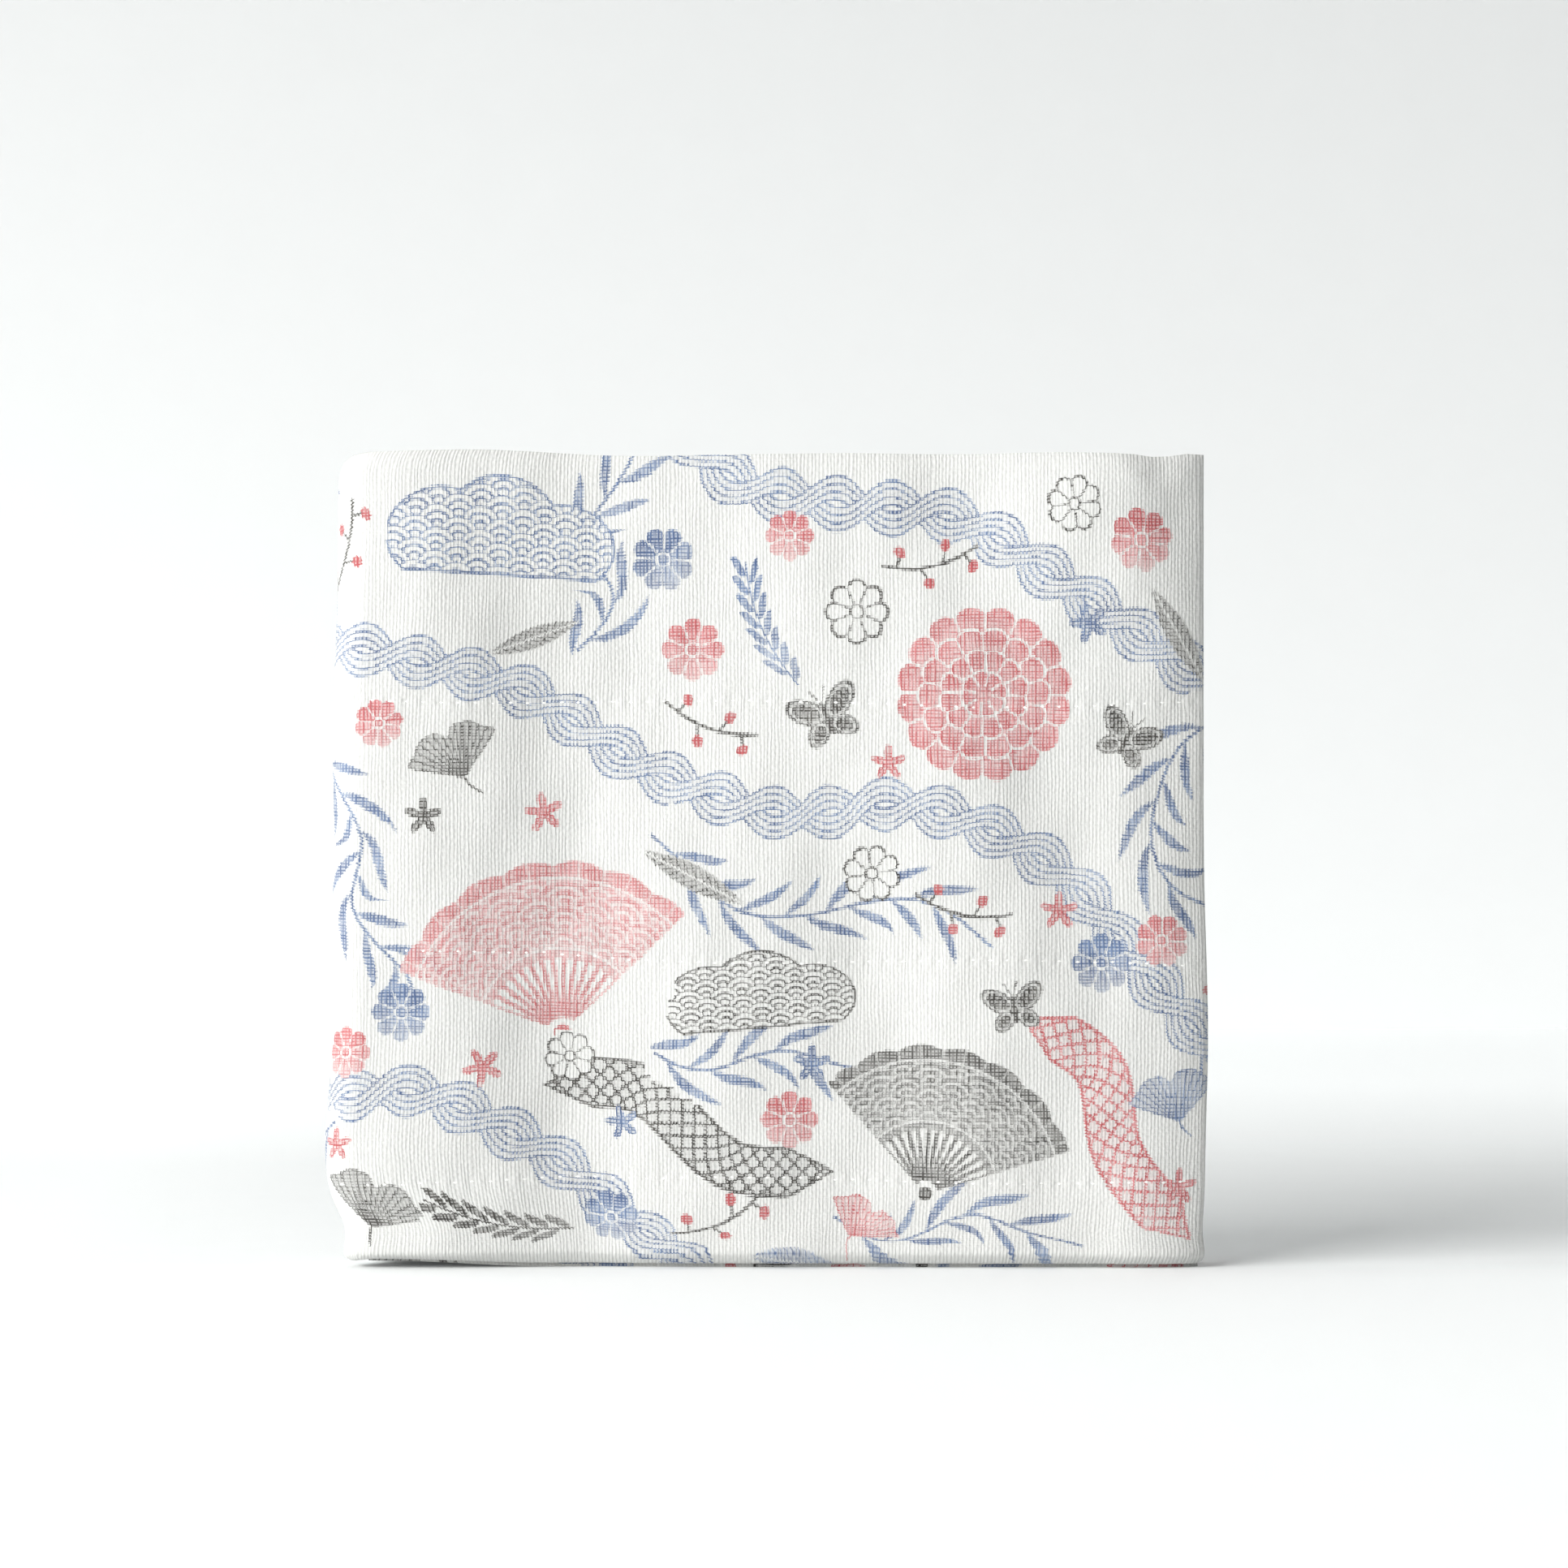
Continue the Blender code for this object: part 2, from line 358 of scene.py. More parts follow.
def rumpled(x, y, z):
    """The settled place with the fine unevenness added."""
    y, z = creased(y, z)
    front = eased((0.5 - y / STACK) * FRONT_GAIN - FRONT_START)
    rise = swell(PUCKERS, x, z)
    for along_x, along_z, start, height in RUMPLES:
        rise += height * np.sin(2 * math.pi * (along_x * x + along_z * z) + start)
    edge = np.zeros_like(x)
    for centre, half_width, lift in EDGE_WAVES:
        edge += lift * np.exp(-0.5 * ((x - centre) / half_width) ** 2)
    new_x, new_y, new_z = settled(x, y, z)
    near_top = np.clip(z / FACE_HEIGHT, 0, 1) ** UPPER_EDGE_POWER
    near_foot = fading(z, LOWER_EDGE_HEIGHT)
    outermost = fading(y + STACK / 2, OUTER_LAYER)
    foot_rise = outermost * np.interp(x, LOWER_EDGE_X, LOWER_EDGE_RISE)
    pressed = rising(x, PRESSED_START_X, PRESSED_END_X)
    foot_rise -= pressed * (1 - outermost) * np.clip(new_z - z, 0, None)
    top_rise = front * near_top * (edge + UPPER_EDGE_RISE)
    low_down = fading(z, FOOT_SPREAD_HEIGHT)
    new_x -= FOOT_SPREAD * outer_quarter(-x) * low_down
    new_x += RIGHT_FOOT_SPREAD * outer_quarter(x) * low_down
    new_x += RIGHT_BULGE * outer_quarter(x) * hump(z, RIGHT_BULGE_Z, RIGHT_BULGE_SIZE)
    return new_x, new_y - front * rise, new_z + near_foot * foot_rise + top_rise


front_foot = rumpled(np.zeros(1), np.full(1, -STACK / 2), np.zeros(1))
print(f"the front's lower edge stands {front_foot[2][0] * 1000:.1f} mm off the table")

# %% [markdown]
# Rows of running stitch hold the gauze layers together. The thread pulls the cloth thin
# along each row, so the sheet's thickness dips there. The rows are about 33 mm apart and
# wander a little, as hand-fed rows do.

# %% Stitch rows and the thickness between them
ROW_PLACES = (0.0322, 0.0672, 0.0970, 0.1300, 0.1630, 0.1960, 0.2290, 0.2620, 0.2950)
ROW_WANDERS = ((0.0006, 0.031, 1.7), (0.0005, 0.013, 2.9))
ROW_DIP = 0.16
ROW_DIP_WIDTH = 0.0012
RIM_THICKNESS = 0.55
RIM_ROUNDING = 0.0006


def row_line(row, u):
    """How far down the sheet this row of stitches runs, at each distance across."""
    wander = sum(size * np.sin(u / long + turn * row) for size, long, turn in ROW_WANDERS)
    return ROW_PLACES[row] + wander


def row_distance(u, v):
    """Distance from the nearest row, above 0 on one side. The sides swap row by row,
    so that the number has no jump midway between two rows."""
    past = np.stack([v - row_line(row, u) for row in range(len(ROW_PLACES))])
    nearest = abs(past).argmin(axis=0)
    return np.take_along_axis(past, nearest[None], axis=0)[0] * (1 - nearest % 2 * 2)


def thickness_share(u, v):
    """The sheet's thickness at each place, as a share of its full thickness."""
    share = np.ones_like(u)
    for row in range(len(ROW_PLACES)):
        share -= ROW_DIP * hump(v, row_line(row, u), ROW_DIP_WIDTH)
    edge = np.minimum(np.minimum(u, CLOTH_WIDTH - u), np.minimum(v, CLOTH_LENGTH - v))
    return share * (RIM_THICKNESS + (1 - RIM_THICKNESS) * eased(edge / RIM_ROUNDING))


print(len(ROW_PLACES), "rows of stitches")

# %% [markdown]
# Now the whole folding is one function. It takes places on the flat sheet, where x and y
# run over the printed face and z through the thickness, and gives places in the folded
# stack. Anything that is laid on the flat sheet, such as a stitch, folds with it.

# %% Fold places of the flat sheet
FREE_EDGE_STEP = 0.0004
FREE_EDGE_REACH = 0.040


def fold(flat_places):
    """The folded place of each flat place, and how much further its layer travels."""
    u, v = -flat_places[:, 0], -flat_places[:, 1]
    through = flat_places[:, 2] * thickness_share(u, v)
    height, depth, lean, _, _ = zigzag(v, SECTION)
    height = height - np.sin(lean) * through
    depth = depth + np.cos(lean) * through
    along, across, heading, turned, turned_again = zigzag(u, PATH)
    on_front = u <= run_lengths(PATH)[0]
    end_share = np.where(on_front, fading(u, FREE_EDGE_REACH), 0)
    step_back = FREE_EDGE_STEP * end_share * (depth + LAYER_PITCH) / LAYER_PITCH
    x = along + np.sin(heading) * depth - step_back
    y = across - np.cos(heading) * depth
    return np.stack(rumpled(x, y, height), axis=1), depth * (turned_again - turned)


probe, _ = fold(np.array([[0.0, 0.0, 0.0], [-CLOTH_WIDTH, -CLOTH_LENGTH, 0.0]]))
print("the sheet's first corner folds to", probe[0].round(4), "and its last to", probe[1].round(4))

# %% [markdown]
# ## The flat sheet
#
# The sheet starts as a grid. Its lines stand close together where a fold will bend it and
# far apart in the runs between, because flat cloth needs few faces. The front panel and
# the back panel show, so their faces are cut finer. Solidify then gives the sheet its
# thickness, with a rim all round.

# %% Grid with its lines crowded at the folds
PANEL_STEP = 0.0024
HIDDEN_STEP = 0.0050
TURN_STEPS = 10
RIM_LINES = (0.0003, 0.0007)


def grid_lines(fold_sizes):
    """Distances at which the grid has a line, from one edge of the sheet to the other."""
    steps = (PANEL_STEP, None, HIDDEN_STEP, None, PANEL_STEP)
    lines = [0.0, *RIM_LINES]
    start = 0.0
    for length, step in zip(run_lengths(fold_sizes), steps):
        count = TURN_STEPS if step is None else round(length / step)
        lines += [start + length * (n + 1) / count for n in range(count)]
        start += length
    lines[-1:] = [lines[-1] - inset for inset in reversed(RIM_LINES)] + lines[-1:]
    return np.array(lines)


def read(items, name, width=1, kind=float):
    """The named numbers of a mesh's items, one row for each item."""
    values = np.empty(len(items) * width, dtype=kind)
    items.foreach_get(name, values)
    return values.reshape(-1, width) if width > 1 else values


def move_to(places):
    """Gives the cloth's points their new places."""
    cloth.data.vertices.foreach_set("co", places.ravel())
    cloth.data.update()


across_lines = grid_lines(PATH)
down_lines = grid_lines(SECTION)
bpy.ops.object.select_all(action="DESELECT")
bpy.ops.mesh.primitive_grid_add(
    x_subdivisions=len(across_lines) - 1, y_subdivisions=len(down_lines) - 1, size=1
)
cloth = bpy.context.object
cloth.name = cloth.data.name = "soft_cloth"
corners = read(cloth.data.vertices, "co", 3)
column = np.rint((corners[:, 0] + 0.5) * (len(across_lines) - 1)).astype(int)
row = np.rint((corners[:, 1] + 0.5) * (len(down_lines) - 1)).astype(int)
corners[:, 0] = -across_lines[::-1][column]
corners[:, 1] = -down_lines[::-1][row]
move_to(corners)
print("grid of", len(across_lines), "by", len(down_lines), "lines")

# %% Finer faces where the cloth shows


def select_where(kind, wanted):
    """In edit mode, selects only the faces or points that a test picks."""
    mesh = bmesh.from_edit_mesh(bpy.context.object.data)
    for item in getattr(mesh, kind):
        item.select_set(wanted(item))
    mesh.select_flush(True)
    bmesh.update_edit_mesh(bpy.context.object.data)


def refine(left, right, top, bottom, cuts):
    """Cut the faces between these distances across and down the sheet finer."""

    def shows(face):
        middle = face.calc_center_median()
        return left < -middle.x < right and top < -middle.y < bottom

    bpy.ops.object.mode_set(mode="EDIT")
    select_where("faces", shows)
    bpy.ops.mesh.subdivide(number_cuts=cuts)
    bpy.ops.mesh.select_all(action="DESELECT")
    bpy.ops.object.mode_set(mode="OBJECT")
    print(len(cloth.data.polygons), "faces after refining")


front_run, side_turn, _, _, back_run = run_lengths(PATH)
front_fall, _, _, _, back_fall = run_lengths(SECTION)
refine(RIM_LINES[-1], front_run + side_turn, RIM_LINES[-1], front_fall, cuts=2)
refine(
    CLOTH_WIDTH - back_run,
    CLOTH_WIDTH - RIM_LINES[-1],
    CLOTH_LENGTH - back_fall,
    CLOTH_LENGTH - RIM_LINES[-1],
    cuts=1,
)

# %% Thickness
solidify = cloth.modifiers.new("thickness", "SOLIDIFY")
solidify.thickness = SHEET
solidify.offset = 0
bpy.ops.object.modifier_apply(modifier=solidify.name)
print(len(cloth.data.polygons), "faces with thickness")

# %% [markdown]
# The weave and the print must follow the yarns, so they are drawn on the flat cloth. Its
# UV map holds each place's share of the way across and down the sheet. The outer layers
# travel further round the side folds than the inner ones, and the map allows for that.
# A second number says how far each place is from its nearest row of stitches.

# %% Map of the flat cloth
flat = read(cloth.data.vertices, "co", 3)
folded_places, stretch = fold(flat)

loop_vertex = read(cloth.data.loops, "vertex_index", kind=np.int32)
flat_across = (-flat[:, 0] + stretch)[loop_vertex]
flat_down = -flat[loop_vertex, 1]
shares = np.stack([flat_across / CLOTH_WIDTH, flat_down / CLOTH_LENGTH], axis=1)
cloth.data.uv_layers.new(name="flat_cloth").data.foreach_set("uv", shares.ravel())

past_row = row_distance(-flat[:, 0], -flat[:, 1]) * 1000
cloth.data.attributes.new("past_row", "FLOAT", "POINT").data.foreach_set("value", past_row)

face_starts = read(cloth.data.polygons, "loop_start", kind=np.int32)
face_sizes = read(cloth.data.polygons, "loop_total", kind=np.int32)
loop_face = np.repeat(np.arange(len(face_starts)), face_sizes)
printed_up = np.add.reduceat(flat[loop_vertex, 2], face_starts) > -TINY
print("faces on the printed side:", int(printed_up.sum()))

# %% [markdown]
# ## The printed pattern
#
# The cloth is printed in three inks, coral, blue and a warm grey, with motifs of many
# sizes strewn over the white. A print can't be made of bumps, and one picture of it would
# blur near the camera. Here each motif is a formula, drawn once by the material, and a
# short table says where on the flat cloth it is printed. Every face of the cloth carries
# the place of its corners on the motif that covers it, so a motif can be moved or turned
# by changing one row.

# %% Motifs that the material can draw
INKS = ("coral", "blue", "grey")
MOTIFS = {
    # name: half width and half height of the patch that it needs, in millimetres
    "daisy": (5.2, 5.2),
    "sprig": (4.6, 15.8),
    "fan": (20.4, 13.8),
    "waves": (18.8, 9.0),
    "ginkgo": (8.0, 6.8),
    "butterfly": (6.2, 5.0),
    "twig": (8.6, 5.4),
    "dahlia": (13.6, 13.6),
    "star": (3.5, 3.5),
    "leaf": (2.6, 9.0),
}
TRAIL_WIDTHS = {
    # name: half width of the band that it needs, in millimetres
    "cord": 4.1,
    "ribbon": 3.9,
    "vine": 6.0,
}
MOTIF_NUMBERS = {name: number + 1 for number, name in enumerate([*MOTIFS, *TRAIL_WIDTHS])}
print(len(MOTIFS), "motifs in", len(INKS), "inks")

# %% [markdown]
# The print repeats, as printed cloth does. Each column of the repeat is half a repeat
# lower than the one to its left, which hides the columns. The places below are in
# millimetres, with the front panel's lower edge at 0 and its middle at x = 0. Cords,
# vines and ribbons bend, so each of them has a list of places along its middle line.

# %% One repeat of the print
REPEAT = (120.0, 112.0)
PLACED = {
    # motif: ink, x, y, turn in degrees and size of each copy
    "fan": (("coral", -30, 43, 12, 1), ("grey", 24, 20, -16, 0.86)),
    "dahlia": (("coral", 29, 77, 10, 0.92),),
    "waves": (("blue", -36, 98.5, -3, 0.88), ("grey", -1, 37, 5, 0.72)),
    "sprig": (("grey", -37.5, 5, 76, 0.74), ("blue", -1, 86.5, 22, 0.64)),
    "daisy": (
        ("coral", -10, 83, 0, 0.95), ("blue", -14, 95, 20, 0.95), ("coral", 3, 98, 0, 0.75),
        ("grey", 12, 88, 0, 0.95), ("coral", 50, 97.5, 12, 0.95),
        ("grey", 41, 102, 30, 0.8), ("grey", 14, 53, 30, 0.85), ("blue", -49, 34, 0, 0.9),
        ("coral", -56.5, 28.5, 0, 0.8), ("coral", 3, 20, 0, 0.88),
        ("grey", -26.5, 28, 10, 0.75), ("coral", -52, 73, 15, 0.75),
        ("blue", 44.5, 41, 0, 0.9), ("coral", 52.5, 44, 20, 0.8),
        ("blue", -21, 6.5, 15, 0.85),
    ),
    "ginkgo": (
        ("grey", -42, 69, 24, 0.85), ("grey", -53, 8, -25, 0.9),
        ("coral", 13, 6, -35, 0.72), ("blue", 54, 23, 15, 0.8),
    ),
    "butterfly": (
        ("grey", 8, 74, 22, 0.95), ("grey", 48, 71, -28, 0.85), ("grey", 33, 35, 10, 0.8),
    ),
    "twig": (
        ("grey", -57.5, 96, 70, 0.9), ("grey", -8, 72.5, -20, 0.9),
        ("grey", 22, 94, 12, 0.9), ("grey", 26, 47.5, -12, 0.9), ("grey", -6, 6, 28, 0.95),
    ),
    "leaf": (
        ("grey", -10, 52.5, 62, 0.95), ("blue", 4, 0, 84, 0.75), ("grey", 55, 85, 30, 0.9),
        ("grey", -31.5, 84.5, -70, 0.8),
    ),
    "star": (
        ("coral", 16.2, 67.8, 0, 0.9), ("blue", 43, 86.5, 20, 1), ("coral", -30, 61, 10, 1),
        ("grey", -46, 60.5, 0, 0.95), ("blue", 6, 27.5, 0, 0.95),
        ("coral", 39, 48, 0, 0.95), ("coral", -57, 16, 0, 0.85),
        ("coral", -38, 26.5, 30, 1), ("coral", 55, 11, 0, 0.9),
        ("blue", -19.5, 19.5, 15, 0.85),
    ),
}
TRAILS = (
    # motif, ink, and places along its middle line
    ("cord", "blue", ((-60, 84), (-46, 81), (-32, 77), (-16, 67), (2, 61), (20, 62), (38, 54),
                      (50, 40), (60, 28))),
    ("cord", "blue", ((-60, 22), (-46, 23), (-30, 15), (-16, 4), (-4, -7), (10, -10),
                      (26, -12), (42, -22), (60, -34))),
    ("vine", "blue", ((-26, 82), (-21, 90), (-24, 99), (-17, 110))),
    ("vine", "blue", ((-16, 59), (-7, 50), (5, 47), (18, 50), (31, 43))),
    ("vine", "blue", ((63, 76), (55, 69), (51, 60), (54, 52), (61, 47))),
    ("vine", "blue", ((-61, 67), (-54, 58), (-56, 48), (-48, 39), (-49, 31))),
    ("vine", "blue", ((8, 7), (17, 3), (29, 7), (43, 1))),
    ("vine", "blue", ((-16, 29), (-8, 27), (4, 29), (15, 26))),
    ("ribbon", "grey", ((-30, 24), (-17, 24), (-5, 14), (9, 13))),
    ("ribbon", "coral", ((34, 34), (44, 27), (47, 15), (57, 3))),
)
placed_count = sum(len(copies) for copies in PLACED.values())
print(placed_count, "placed motifs and", len(TRAILS), "trails in each repeat")

# %% [markdown]
# A trail's middle line is drawn through its places as a smooth curve, and its motif is
# given two numbers at each corner: how far along the line it is, and how far to one side.

# %% Smooth middle lines
LINE_STEPS = 24


def smooth_line(places):
    """Many points of a smooth curve through the places, and the distance along it."""
    places = np.array(places, dtype=float)
    ends = np.concatenate([[2 * places[0] - places[1]], places, [2 * places[-1] - places[-2]]])
    share = np.arange(LINE_STEPS)[:, None] / LINE_STEPS
    pieces = []
    for before, start, stop, after in zip(ends, ends[1:], ends[2:], ends[3:]):
        pieces.append(
            start
            + 0.5 * share * (stop - before)
            + share**2 * (before - 2.5 * start + 2 * stop - 0.5 * after)
            + share**3 * (1.5 * (start - stop) + 0.5 * (after - before))
        )
    points = np.concatenate([*pieces, places[-1:]])
    steps_long = np.linalg.norm(np.diff(points, axis=0), axis=1)
    return points, np.concatenate([[0], np.cumsum(steps_long)])


def beside_line(places, points, travelled):
    """How far along the line and how far to its left each place is."""
    heading = np.gradient(points, axis=0)
    heading /= np.linalg.norm(heading, axis=1)[:, None]
    nearest = np.linalg.norm(places[:, None] - points[None], axis=2).argmin(axis=1)
    away, heading = places - points[nearest], heading[nearest]
    along = travelled[nearest] + (away * heading).sum(axis=1)
    aside = away[:, 1] * heading[:, 0] - away[:, 0] * heading[:, 1]
    return np.stack([along, aside], axis=1)


_, cord_distance = smooth_line(TRAILS[0][2])
print("the first cord is", round(float(cord_distance[-1])), "mm long in each repeat")

# %% [markdown]
# Both sides of the cloth are looked at from outside, so each has its own plan of the
# print. On the printed side the plan's x and y are those of the front panel. Where the
# folded stack shows the other side, at the back, the same print is taken to show too,
# and the plan starts at another place.

# %% The plan of the print on both sides
BACK_PLAN_SHIFT = (-253.0, 40.0)

plan = np.stack([FACE_WIDTH / 2 - flat_across, FACE_HEIGHT - flat_down], axis=1) * 1000
back_plan = np.stack([flat_across, CLOTH_LENGTH - flat_down], axis=1) * 1000 + BACK_PLAN_SHIFT
plan[~printed_up[loop_face]] = back_plan[~printed_up[loop_face]]
face_plan = np.add.reduceat(plan, face_starts) / face_sizes[:, None]
plan_low, plan_high = plan.min(axis=0), plan.max(axis=0)
print("the plan runs from", plan_low.round(), "to", plan_high.round())

# %% Copies of the repeat that reach the cloth
MOTIF_REACH = 70.0
COLUMNS_TRIED = range(-6, 6)
STEPS_TRIED = range(-8, 9)
repeats = []
for column in COLUMNS_TRIED:
    for step in STEPS_TRIED:
        copy = np.array([column * REPEAT[0], (step - column / 2) * REPEAT[1]])
        above_low = (copy > plan_low - MOTIF_REACH - REPEAT[1]).all()
        if above_low and (copy < plan_high + MOTIF_REACH).all():
            repeats.append(copy)
print(len(repeats), "copies of the repeat reach the cloth")

# %% [markdown]
# Laying a motif means finding the faces whose middles are on its patch, and writing the
# motif's own coordinates on their corners. The third number says which motif and which
# ink, and for a trail its fraction gives the length as well. Where two patches meet, each
# face goes to the motif that it is nearer to. Trails have a layer of their own, so that a
# flower may lie over a cord.

# %% How a motif is laid on the faces
LENGTH_UNIT = 100
PATCH_EDGE = 1.5
BAND_EDGE = 1.2
layers = {name: np.zeros((len(plan), 3)) for name in ("motif_place", "trail_place")}
nearest_yet = {name: np.full(len(face_plan), PATCH_EDGE) for name in layers}


def code_of(name, ink):
    """A whole number that says which motif and which ink."""
    return MOTIF_NUMBERS[name] * 4 + INKS.index(ink)


def lay(name, faces, distance, places_on_motif, code):
    """Write a motif on the faces that no other motif of the layer is nearer to."""
    won = distance < nearest_yet[name][faces]
    nearest_yet[name][faces[won]] = distance[won]
    loops = np.flatnonzero(np.isin(loop_face, faces[won]))
    if len(loops):
        codes = np.full(len(loops), code)
        layers[name][loops] = np.column_stack([places_on_motif(plan[loops]), codes])


def lay_trail(name, ink, places):
    """Lay a bending motif, which is 0 at the middle of its length."""
    points, travelled = smooth_line(places)
    travelled = travelled - travelled[-1] / 2
    half_width = TRAIL_WIDTHS[name]
    code = code_of(name, ink)
    if name != "cord":
        code += travelled[-1] / LENGTH_UNIT
    for copy in repeats:

        def on_trail(places):
            return beside_line(places - copy, points, travelled)

        line_low = (points + copy).min(axis=0) - half_width
        line_high = (points + copy).max(axis=0) + half_width
        near = np.flatnonzero(((face_plan > line_low) & (face_plan < line_high)).all(axis=1))
        if not len(near):
            continue
        along, aside = abs(on_trail(face_plan[near])).T
        distance = aside / half_width + 2 * (along > travelled[-1])
        lay("trail_place", near, distance * BAND_EDGE, on_trail, code)


def lay_motif(name, ink, x, y, turn, size):
    """Lay a motif that has one middle and one turn."""
    turn = math.radians(turn)
    turned = np.array([[math.cos(turn), -math.sin(turn)], [math.sin(turn), math.cos(turn)]])
    reach = PATCH_EDGE * size * max(MOTIFS[name])
    for middle in np.array(repeats) + (x, y):

        def on_motif(places):
            return (places - middle) @ turned / size

        near = np.flatnonzero((abs(face_plan - middle) < reach).all(axis=1))
        if len(near):
            distance = ((on_motif(face_plan[near]) / MOTIFS[name]) ** 4).sum(axis=1)
            lay("motif_place", near, distance, on_motif, code_of(name, ink))


print(len(layers), "layers are ready")

# %% Lay them all
for trail in TRAILS:
    lay_trail(*trail)
for name, copies in PLACED.items():
    for copy in copies:
        lay_motif(name, *copy)
for name, layer in layers.items():
    attribute = cloth.data.attributes.new(name, "FLOAT_VECTOR", "CORNER")
    attribute.data.foreach_set("vector", layer.ravel())
    print(f"{name}: {(layer[:, 2] > 0).mean():.0%} of the cloth")

# %% Fold the sheet
lowest, highest = folded_places.min(axis=0), folded_places.max(axis=0)
shift = (lowest + highest) / 2
shift[2] = lowest[2]
move_to(folded_places - shift)
cloth.data.shade_smooth()
cloth.data.set_sharp_from_angle(angle=math.radians(60))
print("folded size", (highest - lowest).round(4))

# %% [markdown]
# ## The finish of the cloth
#
# A material's nodes are easier to read as formulas than as wires. The small class below
# stands for a number that changes over the cloth. Adding or multiplying two of them adds
# one Math node, so a petal's outline can be written as one line of arithmetic.

# %% Formulas that become nodes
drawing = {"frame": None, "count": 0}
NODES_IN_ROW = 24
NODE_SPACE = (180, 220)


def new_material(name):
    """A material that the next formulas are drawn in, and its shader."""
    global tree
    material = bpy.data.materials.new(name)
    material.use_nodes = True
    tree = material.node_tree
    drawing["frame"] = None
    return material, tree.nodes["Principled BSDF"]


def new_node(kind):
    """A new node, in the frame that is being drawn and in rows that can be read."""
    node = tree.nodes.new(kind)
    node.parent = drawing["frame"]
    down, across = divmod(drawing["count"], NODES_IN_ROW)
    node.location = (across * NODE_SPACE[0], -down * NODE_SPACE[1])
    drawing["count"] += 1
    return node


def chapter(title):
    """Starts a framed group of nodes."""
    drawing["frame"] = tree.nodes.new("NodeFrame")
    drawing["frame"].label = title


class Field:
    """A number that changes over the cloth."""

    def __init__(self, socket):
        self.socket = socket

    def __add__(self, other):
        return maths("ADD", self, other)

    def __sub__(self, other):
        return maths("SUBTRACT", self, other)

    def __rsub__(self, other):
        return maths("SUBTRACT", other, self)

    def __mul__(self, other):
        return maths("MULTIPLY", self, other)

    def __truediv__(self, other):
        return maths("DIVIDE", self, other)

    __radd__ = __add__
    __rmul__ = __mul__


def plug(socket, value):
    """Links a field to a socket, or sets a plain value on it."""
    if isinstance(value, Field):
        tree.links.new(value.socket, socket)
    else:
        socket.default_value = value


def maths(operation, *values, clamp=False):
    """One Math node."""
    node = new_node("ShaderNodeMath")
    node.operation = operation
    node.use_clamp = clamp
    for socket, value in zip(node.inputs, values):
        plug(socket, value)
    return Field(node.outputs[0])


gauze, gauze_shader = new_material("printed cotton gauze")
print("an empty material with", len(tree.nodes), "nodes")

# %% Settings and bump


def set_up(node, **values):
    """Sets plain values on a node's sockets, whose names have spaces for low lines."""
    for name, value in values.items():
        node.inputs[name.replace("_", " ")].default_value = value


def roughen(shader, height, strength, distance):
    """Bump on the shader's surface."""
    bump = new_node("ShaderNodeBump")
    set_up(bump, Strength=strength, Distance=distance)
    plug(bump.inputs["Height"], height)
    tree.links.new(bump.outputs[0], shader.inputs["Normal"])


print("the shader has", len(gauze_shader.inputs), "settings")

# %% [markdown]
# A few more words make the formulas short. A shape is given as a depth, which is above 0
# inside it, and a line as the distance from its middle. Both get a soft edge, as ink has
# on yarn.

# %% Words for the formulas
EDGE_SOFTNESS = 0.09


def word(operation):
    """A word for one kind of Math node."""
    return lambda *values: maths(operation, *values)


size_of = word("ABSOLUTE")
larger = word("MAXIMUM")
smaller = word("MINIMUM")
fraction = word("FRACT")
wave = word("COSINE")
sine = word("SINE")
bearing = word("ARCTAN2")
floor_of = word("FLOOR")


def length(x, y):
    return maths("SQRT", maths("MULTIPLY_ADD", x, x, y * y))


def hill(distance, width):
    """1 where distance is 0, falling away softly over the width."""
    return maths("POWER", math.e, distance * distance * (-1 / width**2))


def inside(depth):
    """1 where depth is above 0 and 0 where it is below, with a soft edge."""
    return maths("MULTIPLY_ADD", depth, 0.5 / EDGE_SOFTNESS, 0.5, clamp=True)


def line(distance, half_width):
    """A line of ink along the places where distance is 0."""
    reach = 0.5 + 0.5 * half_width / EDGE_SOFTNESS
    return maths("MULTIPLY_ADD", size_of(distance), -0.5 / EDGE_SOFTNESS, reach, clamp=True)


def lines(distance, pitch, half_width):
    """The same line again and again, once in each pitch."""
    return line((fraction(distance / pitch) - 0.5) * pitch, half_width)


def between(first, second, share):
    """first where share is 0 and second where it is 1."""
    return maths("MULTIPLY_ADD", second - first, share, first)


def is_number(field, number):
    """1 where the field holds this whole number."""
    return maths("COMPARE", field, number, 0.4)


def attribute_node(name):
    """A node that reads an attribute or map of the mesh."""
    node = new_node("ShaderNodeAttribute")
    node.attribute_name = name
    return node


def parts_of(name):
    """The three parts of an attribute or map of the mesh."""
    parts = new_node("ShaderNodeSeparateXYZ")
    tree.links.new(attribute_node(name).outputs["Vector"], parts.inputs[0])
    return [Field(socket) for socket in parts.outputs]


print("a line of ink is soft over", EDGE_SOFTNESS, "mm on each side")

# %% [markdown]
# ## The weave
#
# Up close the gauze is a mesh of slubby yarns. The upright yarns are the stronger ones.
# Each passes over one crosswise yarn and under the next, so it shows as a row of short
# upright ticks, and the ticks of neighbouring yarns are staggered. A wave of distance
# makes the yarns, the product of two waves makes the over and under, and a stretched
# noise pushes each yarn a little aside and makes it thicker and thinner along its
# length. The weave comes before the print, because ink follows the yarns.

# %% Yarns
RIB_PITCH = 0.50
CROSS_PITCH = 0.44

chapter("weave")
map_x, map_y, _ = parts_of("flat_cloth")
across_mm = map_x * (CLOTH_WIDTH * 1000)
down_mm = map_y * (CLOTH_LENGTH * 1000)


